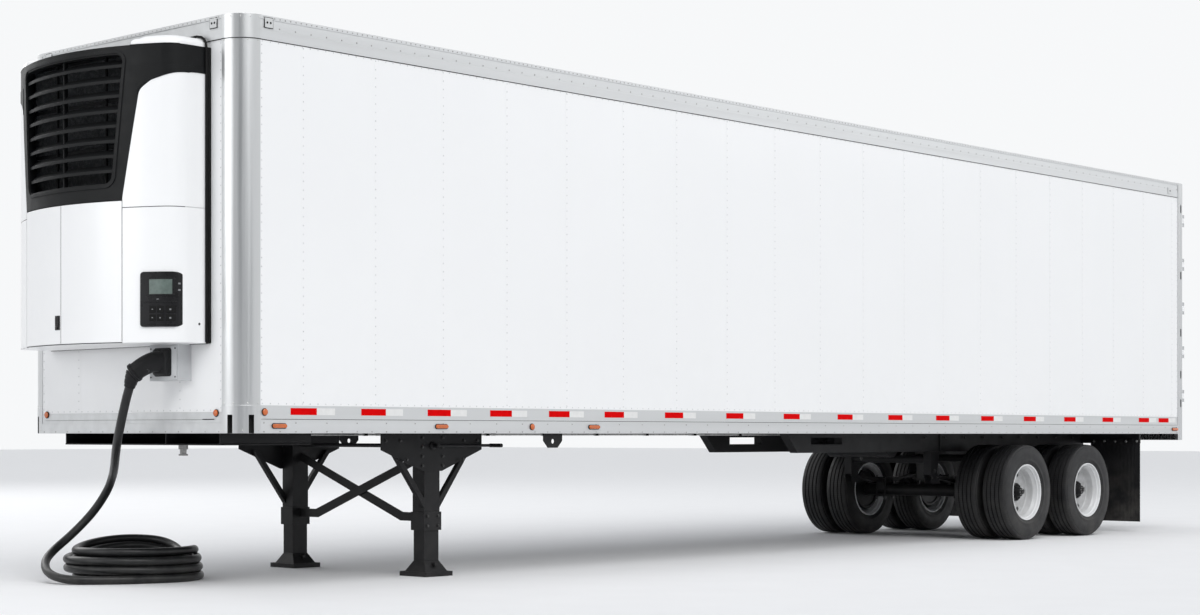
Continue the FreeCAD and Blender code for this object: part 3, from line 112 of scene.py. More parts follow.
def surround():
    """A pale surround, seen and mirrored as a soft backdrop, that lights a little less than it shows."""
    world = SCENE.world = bpy.data.worlds.new("surround")
    world.use_nodes = True
    world.node_tree.nodes.clear()
    graph = Graph(world.node_tree)

    def sky(colour, strength=1.0):
        return graph.node("Background", {"Color": colour, "Strength": strength}).outputs[0]

    def mix(share, first, second):
        return graph.node("MixShader", {0: share, 1: first, 2: second}).outputs[0]

    path = graph.node("LightPath").outputs
    seen = graph.maths("MAXIMUM", path["Is Camera Ray"], path["Is Transmission Ray"])
    # Mirrored rays see two bright sides with a duller gap between them, as round metal shows.
    turn = graph.node("VectorMath", {0: graph.texture["Generated"], 1: (0.643, 0.766, 0.0)},
                      operation="DOT_PRODUCT").outputs["Value"]
    gap = graph.node("ValToRGB", {0: turn})
    gap.color_ramp.interpolation = "EASE"
    for stop, place, colour in zip(gap.color_ramp.elements, (0.55, 0.95), (PALE, (0.20, 0.21, 0.22, 1))):
        stop.position, stop.color = place, colour
    lit = mix(path["Is Glossy Ray"], sky((0.90, 0.94, 1.0, 1), 0.42), sky(gap.outputs[0]))
    graph.node("OutputWorld", {0: mix(seen, lit, sky(PALE))})


def studio():
    surround()
    far = 120
    mesh = bpy.data.meshes.new("floor_stage")
    mesh.from_pydata([(-far, -far, 0), (far, -far, 0), (far, far, 0), (-far, far, 0)], [], [(0, 1, 2, 3)])
    mesh.materials.append(finish("studio_floor", (0.84, 0.84, 0.845), 0.8, tone=0.01))
    put("floor_stage", mesh)
    sky = bpy.data.lights.new("even_sky", "SUN")
    sky.energy, sky.angle = 1.7, radians(50)
    put("even_sky", sky).rotation_euler = facing((-0.30, -0.55, -0.78))
    lamp("key", (14, 24, 15), (1, 0, 2), (14, 10), 950)
    lamp("front_fill", (27, -4, 8), (7, 0, 2.5), (10, 9), 800)
    lamp("rear_fill", (-22, 16, 12), (-4, 0, 2), (14, 10), 500)
    lamp("far_fill", (2, -24, 14), (0, 0, 2), (16, 10), 1500)


# ---- finishes
DUST = (0.30, 0.28, 0.25)
ALLOY = (0.61, 0.62, 0.625)
WHITE = (0.85, 0.853, 0.855)
STEEL = (0.60, 0.60, 0.59)
BLACK = (0.012, 0.012, 0.013)


class Graph:
    """Shader nodes that are joined as they are made, on the coordinates of the row frame."""

    def __init__(self, tree):
        self.tree = tree
        self.texture = self.node("TexCoord").outputs
        self.place = self.texture["Object"]

    def node(self, kind, values=None, **settings):
        made = self.tree.nodes.new("ShaderNode" + kind)
        for setting, value in settings.items():
            setattr(made, setting, value)
        self.plug(made, values or {})
        return made

    def plug(self, made, values):
        for socket, value in values.items():
            if isinstance(value, bpy.types.NodeSocket):
                self.tree.links.new(value, made.inputs[socket])
            else:
                made.inputs[socket].default_value = value

    def maths(self, operation, *values):
        return self.node("Math", dict(enumerate(values)), operation=operation).outputs[0]

    def times(self, first, *others):
        for other in others:
            first = self.maths("MULTIPLY", first, other)
        return first

    def span(self, value, low, high, to_low=0.0, to_high=1.0):
        return self.node("MapRange", dict(enumerate((value, low, high, to_low, to_high)))).outputs[0]

    def noise(self, scale, detail=3.0, stretch=(1, 1, 1)):
        vector = self.node("Mapping", {"Vector": self.place, "Scale": stretch}).outputs[0]
        return self.node("TexNoise", {"Vector": vector, "Scale": scale, "Detail": detail}).outputs["Fac"]

    def mix(self, share, first, second):
        return self.node("MixRGB", dict(enumerate((share, first, second)))).outputs[0]

    def axes(self):
        return self.node("SeparateXYZ", {0: self.place}).outputs

    def polar(self, centre):
        """Distance from a wheel's axis, and the turn about it."""
        x, _, z = self.axes()
        across, up = self.maths("SUBTRACT", x, centre), self.maths("SUBTRACT", z, WHEEL_Z)
        square = self.maths("ADD", self.times(across, across), self.times(up, up))
        return self.maths("SQRT", square), self.maths("ARCTAN2", up, across)


def shade(colour, factor=1.0):
    return (*(min(channel * factor, 1) for channel in colour), 1)


def finish(name, colour, roughness, metallic=0.0, tone=0.05, patch=2.0, stretch=(1, 1, 1), spread=0.06,
           grain=0.0, grain_scale=700.0, ripple=0.0, dirt=0.0, dirt_top=1.2, wear=None, soft=0.0, coat=0.0,
           over=None, bumps=None, gloss=0.5):
    """A layered finish: uneven tone and gloss, grain and ripple, road dirt low down, and worn edges.

    over(graph, colour) paints on the colour; bumps(graph) gives one more height in metres.
    """
    material = bpy.data.materials.new(name)
    material.use_nodes = True
    graph = Graph(material.node_tree)
    base = graph.mix(graph.span(graph.noise(patch, 5.0, stretch), 0.3, 0.7), shade(colour, 1 - tone),
                     shade(colour, 1 + tone))
    rough = graph.span(graph.noise(patch * 4, 4.0, stretch), 0.3, 0.7, roughness - spread, roughness + spread)
    if over:
        base = over(graph, base)
    corner = graph.node("Bevel", {"Radius": max(soft, 0.004)}, samples=4).outputs[0] if soft or wear else None
    if wear:
        sharp = graph.node("VectorMath", {0: corner, 1: graph.node("NewGeometry").outputs["Normal"]},
                           operation="DOT_PRODUCT").outputs["Value"]
        worn = graph.times(graph.span(sharp, 0.97, 0.80), graph.span(graph.noise(38.0, 6.0), 0.48, 0.60))
        base = graph.mix(worn, base, shade(wear))
    if dirt:
        height = graph.span(graph.axes()[2], dirt_top, 0.0)
        blotch = graph.span(graph.noise(7.0, 8.0), 0.35, 0.75)
        base = graph.mix(graph.times(height, blotch, dirt), base, shade(DUST))
    heights = [(graph.noise(1.3, 2.0), ripple), (graph.noise(grain_scale, 2.0, stretch), grain)]
    if bumps:
        heights.append((bumps(graph), 1.0))
    normal = {"Normal": corner} if soft else {}
    for height, distance in heights:
        if distance:
            made = graph.node("Bump", {"Height": height, "Distance": distance, "Strength": 1.0, **normal})
            normal = {"Normal": made.outputs[0]}
    graph.plug(material.node_tree.nodes["Principled BSDF"],
               {"Base Color": base, "Roughness": rough, "Metallic": metallic, "Coat Weight": coat,
                "Coat Roughness": 0.12, "Specular IOR Level": gloss, **normal})
    return material


def tape_cells(graph):
    cells = graph.node("TexVoronoi", {"Vector": graph.place, "Scale": 330.0}, feature="DISTANCE_TO_EDGE")
    return graph.times(graph.span(cells.outputs["Distance"], 0.0, 0.10), 0.0002)


def ribs(scale, direction, height):
    return lambda graph: graph.times(graph.node("TexWave", {"Vector": graph.place, "Scale": scale},
                                                bands_direction=direction).outputs["Fac"], height)


def speckle(scale, height):
    return lambda graph: graph.times(graph.noise(scale), height)


def tread_marks(centre):
    """Sipes across the tread, and rings and fine ribs on the sidewall, about a wheel's axis."""
    def bumps(graph):
        radius, turn = graph.polar(centre)
        sipes, fine, rings = (graph.maths("SINE", graph.times(value, count))
                              for value, count in ((turn, 150.0), (turn, 240.0), (radius, 900.0)))
        tread = graph.times(graph.span(radius, 0.492, 0.497), graph.span(sipes, 0.86, 1.0), 0.0025)
        band = graph.times(graph.span(radius, 0.455, 0.449), graph.span(radius, 0.420, 0.426), fine)
        low = graph.times(graph.span(radius, 0.345, 0.338), rings, 0.5)
        return graph.maths("SUBTRACT", graph.times(graph.maths("ADD", band, low), 0.0004), tread)
    return bumps


def wheel_middle_darkening(centre):
    """Darker blotches towards the middle of a wheel."""
    def over(graph, base):
        blotch = graph.span(graph.noise(18.0, 6.0), 0.25, 0.75, 0.55, 1.0)
        dark_share = graph.times(graph.span(graph.polar(centre)[0], 0.285, 0.235), blotch, 0.62)
        return graph.mix(dark_share, base, (0.15, 0.148, 0.145, 1))
    return over


def finishes():
    """Every finish of the trailer, by name."""
    made = {}

    def add(name, colour, roughness, **settings):
        made[name] = finish(name, colour, roughness, **settings)

    alloy = dict(patch=1.0, grain=0.00002, grain_scale=250.0, soft=0.003, dirt=0.12)
    black = dict(tone=0.25, patch=3.0, grain=0.0002, grain_scale=500.0, soft=0.003, gloss=0.2)
    red_ribs = dict(tone=0.12, patch=40.0, bumps=ribs(60.0, "DIAGONAL", 0.0006))
    add("panel", WHITE, 0.36, tone=0.008, patch=0.8, spread=0.03, ripple=0.0008, grain=0.00003,
        grain_scale=900.0, dirt=0.06, dirt_top=2.2, coat=0.15)
    add("unit", WHITE, 0.30, tone=0.006, patch=1.5, spread=0.02, ripple=0.0003, grain=0.00003,
        grain_scale=600.0, soft=0.005, coat=0.25)
    add("door", WHITE, 0.36, tone=0.02, ripple=0.0008, grain=0.00004, dirt=0.18, dirt_top=2.4, soft=0.004,
        coat=0.1)
    # Rivet heads grey, darker than the panel: painted shade of the small heads, which are painted like the
    # sheets.
    add("rivet", (0.62, 0.625, 0.63), 0.35, tone=0.15, patch=40.0)
    add("along", ALLOY, 0.48, metallic=0.75, stretch=(0.15, 12, 12), **alloy)
    add("up", ALLOY, 0.34, metallic=1.0, stretch=(10, 10, 0.1), **alloy)
    add("stainless", (0.60, 0.61, 0.62), 0.27, metallic=1.0, patch=1.2, stretch=(9, 9, 0.15),
        grain=0.00003, grain_scale=300.0, soft=0.003, dirt=0.2)
    add("floor", (0.55, 0.56, 0.57), 0.42, metallic=1.0, tone=0.12, stretch=(0.3, 4, 4), grain=0.0001,
        wear=(0.75, 0.76, 0.77))
    # Crossmembers near black: road grime, and painted shade of the trailer's underside.
    add("beams", (0.036, 0.037, 0.038), 0.62, tone=0.30, patch=4.0, grain=0.0004, grain_scale=160.0,
        gloss=0.2)
    add("steel", (0.011, 0.011, 0.012), 0.42, wear=(0.05, 0.047, 0.044), dirt=0.05, dirt_top=1.1, **black)
    add("grille", (0.007, 0.0075, 0.008), 0.44, **dict(black, tone=0.12, gloss=0.15))
    add("frame", BLACK, 0.5, **black)
    add("engine", (0.05, 0.055, 0.06), 0.4, tone=0.3, patch=9.0, grain=0.0008, grain_scale=60.0,
        soft=0.01, wear=(0.18, 0.18, 0.18))
    add("bezel", BLACK, 0.28, **black)
    add("screen", (0.115, 0.150, 0.135), 0.12, tone=0.15, patch=30.0, coat=1.0,
        bumps=speckle(900.0, 0.00005))
    add("print", (0.20, 0.205, 0.21), 0.5, tone=0.1, patch=60.0)
    add("socket", (0.52, 0.53, 0.54), 0.4, tone=0.06, patch=8.0, grain=0.00008, soft=0.004,
        wear=(0.66, 0.66, 0.67))
    add("plug", BLACK, 0.46, dirt=0.05, dirt_top=0.3, **black)
    add("cable", (0.012, 0.0125, 0.013), 0.40, tone=0.25, patch=14.0, bumps=speckle(260.0, 0.0003),
        dirt=0.08, dirt_top=0.25, gloss=0.35)
    # Black rubber; the same colour also makes the strips of painted shade in the unit's gaps.
    add("seal", (0.006, 0.006, 0.006), 0.6, tone=0.2, patch=9.0, grain=0.0003, gloss=0.15)
    add("flap", (0.011, 0.011, 0.012), 0.62, tone=0.25, patch=5.0, bumps=ribs(7.0, "Y", 0.0015), dirt=0.22,
        dirt_top=0.9, gloss=0.2)
    add("amber", (0.55, 0.115, 0.018), 0.20, coat=0.5, **red_ribs)
    add("ruby", (0.55, 0.012, 0.010), 0.14, coat=1.0, **red_ribs)
    add("red_tape", (0.66, 0.0, 0.001), 0.7, tone=0.08, patch=20.0, bumps=tape_cells, gloss=0.05)
    add("white_tape", (0.74, 0.74, 0.73), 0.42, tone=0.04, patch=20.0, bumps=tape_cells)
    add("zinc", STEEL, 0.38, metallic=1.0, tone=0.2, patch=30.0, grain=0.0002)
    add("dark_bolt", (0.05, 0.05, 0.05), 0.4, metallic=0.6, tone=0.3, patch=50.0, grain=0.0002)
    add("bare", (0.34, 0.335, 0.33), 0.33, metallic=1.0, tone=0.25, patch=25.0, stretch=(1, 1, 6),
        grain=0.0001, wear=(0.6, 0.6, 0.6))
    add("lining", (0.74, 0.745, 0.73), 0.45, tone=0.03, ripple=0.001, grain=0.0002, grain_scale=300.0,
        dirt=0.2, dirt_top=2.0)
    # Black hubs, drums and nuts; the same colour also makes the disc of painted shade inside each wheel.
    add("hub", (0.010, 0.010, 0.011), 0.40, dirt=0.05, dirt_top=0.8, **black)
    # Near black for painted shade: holes, slots, gaps and lines under rails that lie in shade.
    add("hole", (0.006, 0.006, 0.006), 0.9, tone=0.3, patch=20.0)
    for end, centre in AXLES:
        add(end + "_wheel", (0.74, 0.745, 0.75), 0.36, tone=0.04, patch=6.0, over=wheel_middle_darkening(centre),
            soft=0.003, dirt=0.12, dirt_top=1.0, coat=0.1)
        add(end + "_tyre", (0.013, 0.013, 0.014), 0.55, tone=0.22, patch=4.0, bumps=tread_marks(centre),
            grain=0.0002, dirt=0.12, dirt_top=0.9, gloss=0.3)
    return made


CAD_FINISHES = {
    "panel": ("left_side_wall", "right_side_wall", "front_wall", "roof"),
    "along": ("bottom_rails", "top_rails", "front_rails"),
    "up": ("left_front_corner_post", "right_front_corner_post"),
    "stainless": ("rear_frame", "door_hinge_butts", "left_lock_rods", "right_lock_rods"),
    "door": ("left_rear_door", "right_rear_door"),
    "floor": ("floor",),
    "beams": ("crossmembers",),
    "steel": ("air_tank", "bogie_rails", "coupler_plate", "crank_handle", "front_axle", "rear_axle",
              "landing_leg_rams", "landing_leg_sleeves", "landing_shoes", "landing_wing_plates",
              "leaf_springs", "leg_cross_brace", "mud_flap_brackets", "spring_hangers"),
    "flap": ("mud_flaps",),
    "bare": ("kingpin",),
    "grille": ("grille_louvres", "grille_surround"),
    "unit": ("left_unit_cover", "right_unit_cover", "left_unit_door", "right_unit_door"),
    "frame": ("unit_frame",),
    "engine": ("unit_engine",),
    "bezel": ("control_panel",),
    "socket": ("socket_box",),
    "plug": ("cable_connector",),
}


def dress_frame():
    for kind, nodes in CAD_FINISHES.items():
        for name in nodes:
            piece = frame["nodes"][name]
            for slot in piece.material_slots:
                slot.material = LOOK[kind]
            piece.data.set_sharp_from_angle(angle=radians(32))


# ---- small shapes
# Profiles of small turned heads, as (out, radius).
RIVET = ((0.0, 0.0058), (0.0016, 0.0050), (0.0028, 0.0024))
BOLT = ((0.0, 0.016), (0.002, 0.016), (0.002, 0.0125), (0.010, 0.0125), (0.011, 0.010))
SCREW = ((0.0, 0.007), (0.003, 0.006), (0.004, 0.003))
STUD = ((0.0, 0.009), (0.003, 0.008), (0.004, 0.004))
COUNTERSUNK = ((0.0, 0.009), (0.002, 0.009), (0.003, 0.006))
PEG = ((0.0, 0.0085), (0.0042, 0.0085), (0.0046, 0.006))
CAP_BOLT = ((0.0, 0.005), (0.004, 0.005), (0.005, 0.004))
U_BOLT_NUT = ((0.0, 0.017), (0.018, 0.017), (0.020, 0.014), (0.020, 0.009), (0.034, 0.008))
# Ways that things face.
AHEAD, BACK, OUT, UP, DOWN = (1, 0, 0), (-1, 0, 0), (0, 1, 0), (0, 0, 1), (0, 0, -1)


def polar(radius, degrees):
    return radius * cos(radians(degrees)), radius * sin(radians(degrees))


def circle(radius, sides, across=0.0, up=0.0):
    return [(across + u, up + v) for u, v in (polar(radius, 360 * i / sides) for i in range(sides))]


def rounded(length, height, radius, steps=6):
    """An outline with round corners, as (along, up) points."""
    points = []
    for quarter, (u, v) in enumerate(((1, 1), (-1, 1), (-1, -1), (1, -1))):
        for step in range(steps + 1):
            along, up = polar(radius, 90 * (quarter + step / steps))
            points.append((u * (length / 2 - radius) + along, v * (height / 2 - radius) + up))
    return points


class Shape:
    """Points and faces gathered for one piece."""

    def __init__(self):
        self.points, self.faces = [], []

    def loft(self, rings, caps=True):
        """Rings with the same number of points, joined in turn."""
        start, count = len(self.points), len(rings[0])
        last = start + (len(rings) - 1) * count
        for low in range(start, last, count):
            for i in range(count):
                j = (i + 1) % count
                self.faces.append((low + i, low + j, low + count + j, low + count + i))
        if caps:
            self.faces += [tuple(range(start, start + count)), tuple(range(last, last + count))]
        self.points += [tuple(point) for ring in rings for point in ring]

    def block(self, low, high):
        (a, b, c), (d, e, f) = low, high
        self.loft([[(a, b, z), (d, b, z), (d, e, z), (a, e, z)] for z in (c, f)])

    def turned(self, profile, centre, axis, sides=8, caps=True):
        """A profile of (distance along the axis, radius) turned about an axis through a centre."""
        axis, centre = Vector(axis).normalized(), Vector(centre)
        across = axis.orthogonal().normalized()
        other = axis.cross(across)
        self.loft([[centre + axis * along + across * u + other * v for u, v in circle(radius, sides)]
                   for along, radius in profile], caps)

    def row(self, profile, start, end, pitch, axis, sides=8):
        """The same small turned head at even steps along a line."""
        start, end = Vector(start), Vector(end)
        count = max(1, round((end - start).length / pitch))
        for index in range(count + 1):
            self.turned(profile, start.lerp(end, index / count), axis, sides)

    def tube(self, path, radii, sides=10):
        """A round bar along points; radii is one number, or one for each point."""
        path = [Vector(point) for point in path]
        if not isinstance(radii, (list, tuple)):
            radii = [radii] * len(path)
        rings, across = [], None
        for index, (point, radius) in enumerate(zip(path, radii)):
            ahead = (path[min(index + 1, len(path) - 1)] - path[max(index - 1, 0)]).normalized()
            across = ahead.orthogonal() if across is None else across - ahead * across.dot(ahead)
            across.normalize()
            other = ahead.cross(across)
            rings.append([point + across * u + other * v for u, v in circle(radius, sides)])
        self.loft(rings)

    def plate(self, loops, low, high, place):
        """A flat plate with openings; the first loop is its outline, and place(u, v, w) puts it."""
        start, flat = len(self.points), [point for loop in loops for point in loop]
        count = len(flat)
        self.points += [tuple(place(u, v, w)) for w in (low, high) for u, v in flat]
        for a, b, c in tessellate_polygon([[Vector((u, v, 0)) for u, v in loop] for loop in loops]):
            self.faces += [(start + a, start + b, start + c),
                           (start + count + c, start + count + b, start + count + a)]
        for loop in loops:
            for i in range(len(loop)):
                j = (i + 1) % len(loop)
                self.faces.append((start + i, start + j, start + count + j, start + count + i))
            start += len(loop)

    def skin(self, span_y, span_z, low, high, steps=8):
        """A plate that follows the unit's skin between two distances off it."""
        rings = []
        for step in range(steps + 1):
            y = span_y[0] + (span_y[1] - span_y[0]) * step / steps
            near, far = on_unit(y, low)[0], on_unit(y, high)[0]
            rings.append([(*near, span_z[0]), (*far, span_z[0]), (*far, span_z[1]), (*near, span_z[1])])
        self.loft(rings)

    def mirror(self):
        """The same again on the other side of the trailer."""
        count = len(self.points)
        self.faces += [tuple(count + i for i in face) for face in self.faces]
        self.points += [(x, -y, z) for x, y, z in self.points]
        return self

    def make(self, name, look, slot, body=BODY, replaces=(), bevel=0.0, crease=35):
        mesh = bpy.data.meshes.new(name)
        mesh.from_pydata(self.points, [], self.faces)
        work = bmesh.new()
        work.from_mesh(mesh)
        bmesh.ops.recalc_face_normals(work, faces=work.faces)
        work.to_mesh(mesh)
        work.free()
        mesh.polygons.foreach_set("use_smooth", [True] * len(mesh.polygons))
        mesh.set_sharp_from_angle(angle=radians(crease))
        mesh.materials.append(LOOK[look])
        piece = put(name, mesh)
        if bevel:
            edge = piece.modifiers.new("edges", "BEVEL")
            edge.width, edge.segments, edge.limit_method = bevel, 2, "ANGLE"
            edge.angle_limit = radians(40)
        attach(piece, body)
        if replaces:
            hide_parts(*replaces)
        return piece

    def make_pair(self, name, look, slot, body=BODY, replaces=(), **settings):
        """A piece on the left and its mirror image on the right; SIDE in a name stands for either."""
        for side in SIDES:
            self.make(name.replace("SIDE", side), look, slot, body.replace("SIDE", side),
                      [node.replace("SIDE", side) for node in replaces], **settings)
            self.points = [(x, -y, z) for x, y, z in self.points]


# ---- skins, seams and rivets
SEAM_FIRST, SEAM_PITCH, SEAM_COUNT = 0.608, 0.7247, 20
RIVET_PITCH, EDGE_PITCH, BEAD_PITCH = 0.0635, 0.0762, 0.0508
SKIN = 0.0012
FRONT_SEAM = 0.62


def side_skins():
    """Upright sheets that lap at each riveted seam."""
    seams = [FRONT_X - SEAM_FIRST - SEAM_PITCH * index for index in range(SEAM_COUNT)]
    low, high, face, lap = RAIL_TOP, TOP_RAIL_LOW, WALL_Y + SKIN, WALL_Y + 2 * SKIN
    skins, rivets = Shape(), Shape()
    for ahead, behind in zip([CORNER_X] + seams, seams + [BOX_REAR]):
        skins.block((behind, WALL_Y, low), (ahead, face, high))
    for x in seams:
        skins.block((x - 0.034, WALL_Y, low), (x + 0.014, lap, high))
        rivets.row(RIVET, (x, lap, low + 0.025), (x, lap, high - 0.02), RIVET_PITCH, OUT)
    for z in (low + 0.013, high - 0.013):
        rivets.row(RIVET, (CORNER_X - 0.02, face, z), (BOX_REAR + 0.02, face, z), EDGE_PITCH, OUT)
    for x in (CORNER_X - 0.014, BOX_REAR + 0.016):
        rivets.row(RIVET, (x, face, low + 0.04), (x, face, high - 0.04), RIVET_PITCH, OUT)
    skins.make_pair("SIDE_side_skins", "panel", "white_panel")
    rivets.make_pair("SIDE_side_rivets", "rivet", "white_panel")


def front_skin():
    skins, rivets = Shape(), Shape()
    low, edge, face = RAIL_TOP - 0.047, CORNER_Y - 0.001, WALL_X + SKIN
    for near, far in ((-edge, -FRONT_SEAM), (-FRONT_SEAM, FRONT_SEAM), (FRONT_SEAM, edge)):
        skins.block((WALL_X, near, low), (face, far, TOP_RAIL_LOW))
    for y in (-FRONT_SEAM, FRONT_SEAM):
        skins.block((WALL_X, y - 0.014, low), (face + SKIN, y + 0.024, TOP_RAIL_LOW))
    for x, y in ((face, edge - 0.016), (face + SKIN, FRONT_SEAM)):
        rivets.row(RIVET, (x, y, low + 0.03), (x, y, TOP_RAIL_LOW - 0.03), RIVET_PITCH, AHEAD)
    rivets.mirror().row(RIVET, (face, 0.05 - edge, low + 0.013), (face, edge - 0.05, low + 0.013),
                        EDGE_PITCH, AHEAD)
    skins.make("front_skin", "panel", "white_panel")
    rivets.make("front_rivets", "rivet", "white_panel")


def rail_rivets():
    small = tuple((along * 1.2, radius * 1.05) for along, radius in RIVET)
    heads = Shape()
    ahead, behind, inset = CORNER_X - 0.03, BOX_REAR + 0.03, CORNER_Y - 0.03
    for y, z, pitch, out in ((HALF_WIDTH, TOP_Z - 0.014, BEAD_PITCH, OUT),
                             (BAND_Y, TOP_RAIL_LOW + 0.090, EDGE_PITCH * 2, OUT),
                             (HALF_WIDTH, RAIL_LOW + 0.012, EDGE_PITCH * 2, OUT),
                             (HALF_WIDTH, RAIL_LOW + 0.075, EDGE_PITCH * 4, OUT),
                             (HALF_WIDTH - 0.03, TOP_Z, BEAD_PITCH, UP)):
        heads.row(small, (ahead, y, z), (behind, y, z), pitch, out)
    heads.mirror()
    for x, z, pitch, out in ((FRONT_X, TOP_Z - 0.014, BEAD_PITCH, AHEAD),
                             (FRONT_X, RAIL_LOW + 0.012, EDGE_PITCH * 2, AHEAD),
                             (FRONT_X - 0.02, TOP_Z, BEAD_PITCH, UP)):
        heads.row(small, (x, -inset, z), (x, inset, z), pitch, out)
    heads.make("rail_rivets", "bare", "polished_aluminium")


CORNER, CORNER_RADIUS = Vector((CORNER_X, CORNER_Y, 0)), FRONT_X - CORNER_X


def outward(turn):
    """The way out of the round front corner, so many degrees from ahead."""
    return Vector((*polar(1, turn), 0))


def corner_rivets():
    heads = Shape()
    for z, turns in ((RAIL_TOP + 0.014, (6, 30, 60, 84)), (RAIL_TOP - 0.180, (6, 50, 84)),
                     (TOP_RAIL_LOW - 0.014, (6, 30, 60, 84)), (TOP_Z - 0.020, (4, 24, 45, 66, 86))):
        stand = CORNER_RADIUS - (0.003 if RAIL_TOP < z < TOP_RAIL_LOW else 0.0)
        for turn in turns:
            heads.turned(RIVET, CORNER + outward(turn) * stand + Vector((0, 0, z)), outward(turn))
    heads.mirror().make("corner_rivets", "zinc", "polished_aluminium")


def corner_tabs(shade_marks):
    """Holed tabs beside the top corners and the castings of the rear frame, with painted shade in the holes,
    round the tabs' edges and in dark strips at the rear frame's keepers.
    """
    tabs, tall = Shape(), HALF_WIDTH + 0.003
    # The shade marks repeat each tab a little larger: painted shade round its edges.
    for shape, more, out in ((tabs, 0.0, 0.003), (shade_marks, 0.004, 0.001)):
        low, high = 4.030 - more, 4.100 + more
        shape.block((FRONT_X, 0.970 - more, low), (FRONT_X + out, 1.045 + more, high))
        shape.block((FRONT_X - 0.310 - more, BAND_Y, low), (FRONT_X - 0.235 + more, HALF_WIDTH + out, high))
    # Dark pegs of painted shade in the tabs' holes.
    for shift in (0.022, 0.053):
        shade_marks.turned(PEG, (FRONT_X, 0.970 + shift, 4.065), AHEAD, 14)
        shade_marks.turned(PEG, (FRONT_X - 0.235 - shift, HALF_WIDTH, 4.065), OUT, 14)
    tabs.block((REAR_X, HALF_WIDTH, 3.872), (BOX_REAR, tall, TOP_Z - 0.002))
    tabs.block((BOX_REAR + 0.160, BAND_Y, 3.970), (BOX_REAR + 0.260, tall, 4.040))
    # A dark disc of painted shade in the rear casting's hole.
    shade_marks.turned(((0, 0.010), (0.0042, 0.010), (0.0046, 0.007)), (BOX_REAR + 0.210, HALF_WIDTH, 4.005),
                 OUT, 14)
    # Dark strips of painted shade at the rear frame's keepers.
    for z in (3.81, 3.02, 2.34, 1.84, 1.50):
        shade_marks.block((REAR_X + 0.024, HALF_WIDTH, z - 0.045), (REAR_X + 0.046, HALF_WIDTH + 0.001, z + 0.045))
    tabs.mirror().make("corner_tabs", "up", "polished_aluminium", bevel=0.001)


def side_joints(shade_marks):
    """Painted shade: a dark line under the top rail, dark slots in the corner post's foot and a dark line at
    the bottom rail's seam.
    """
    low, high = TOP_RAIL_LOW - 0.005, TOP_RAIL_LOW
    inner, outer = CORNER_RADIUS - 0.006, CORNER_RADIUS + 0.0008
    shade_marks.block((BOX_REAR + 0.02, WALL_Y, low), (CORNER_X, BAND_Y, high))
    shade_marks.loft([[CORNER + outward(turn) * radius + Vector((0, 0, z)) for radius, z in
                 ((inner, low), (outer, low), (outer, high), (inner, high))] for turn in range(0, 91, 5)])
    for turn in (22, 68):
        out, across = outward(turn), outward(turn + 90)
        for far, half, shift in ((0.0430, 0.0195, 0), (0.004, 0.0006, 0.0190), (0.004, 0.0006, -0.0190)):
            corners = [CORNER + out * (CORNER_RADIUS - depth) + across * (shift + edge) for depth, edge in
                       ((0.0445, -half), (0.0445, half), (far, half), (far, -half))]
            shade_marks.loft([[(x, y, z) for x, y, _ in corners] for z in (RAIL_LOW + 0.001, RAIL_LOW + 0.1325)])
    shade_marks.block((BOX_REAR + 0.02, BAND_Y, SPLIT_Z), (CORNER_X - 0.01, BAND_Y + 0.0006, SPLIT_Z + 0.003))


def corner_fittings():
    corner_rivets()
    shade_marks = Shape()
    corner_tabs(shade_marks)
    side_joints(shade_marks)
    shade_marks.mirror()
    # Painted shade: a dark line under the front top rail, a thin dark line along the front rail's seam and a
    # dark slit at its end.
    shade_marks.block((WALL_X, -CORNER_Y, TOP_RAIL_LOW - 0.005), (FRONT_X - 0.001, CORNER_Y, TOP_RAIL_LOW))
    shade_marks.block((FRONT_X, -1.05, SPLIT_Z - 0.001), (FRONT_X + 0.0004, 0.885, SPLIT_Z + 0.0006))
    shade_marks.block((FRONT_X, 0.885, SPLIT_Z - 0.003), (FRONT_X + 0.0006, 1.015, SPLIT_Z + 0.003))
    shade_marks.make("corner_tab_holes", "hole", "black_steel")


def roof_bows():
    bows = Shape()
    for index in range(23):
        x = CORNER_X - 0.40 - 0.6096 * index
        bows.block((x - 0.012, -1.22, TOP_Z - 0.008), (x + 0.012, 1.22, TOP_Z - 0.0065))
    bows.make("roof_bows", "panel", "white_panel", bevel=0.0006)


# ---- tape and lamps
TAPE_STARTS = [0.483 + 0.700 * index for index in range(6)] + [4.790 + 0.8745 * index for index in range(11)]
TAPE_STARTS.append(14.03)
TAPE_LOW, TAPE_HIGH = 1.270, 1.320


def tape():
    red, white = Shape(), Shape()
    for start in TAPE_STARTS:
        for shape, ahead, behind in ((red, start, start + 0.255), (white, start + 0.255, start + 0.435)):
            shape.block((FRONT_X - behind, BAND_Y, TAPE_LOW), (FRONT_X - ahead, BAND_Y + 0.0005, TAPE_HIGH))
    red.mirror()
    white.mirror()
    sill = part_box("left_rear_door")[0].z - 0.030
    for index in range(7):
        near = 0.217 * (index - 3.5)
        (white if index % 2 else red).block((REAR_X - 0.0106, near, sill - 0.050),
                                            (REAR_X - 0.010, near + 0.217, sill))
    red.make("red_tape", "red_tape", "amber_lens")
    white.make("white_tape", "white_tape", "white_panel")


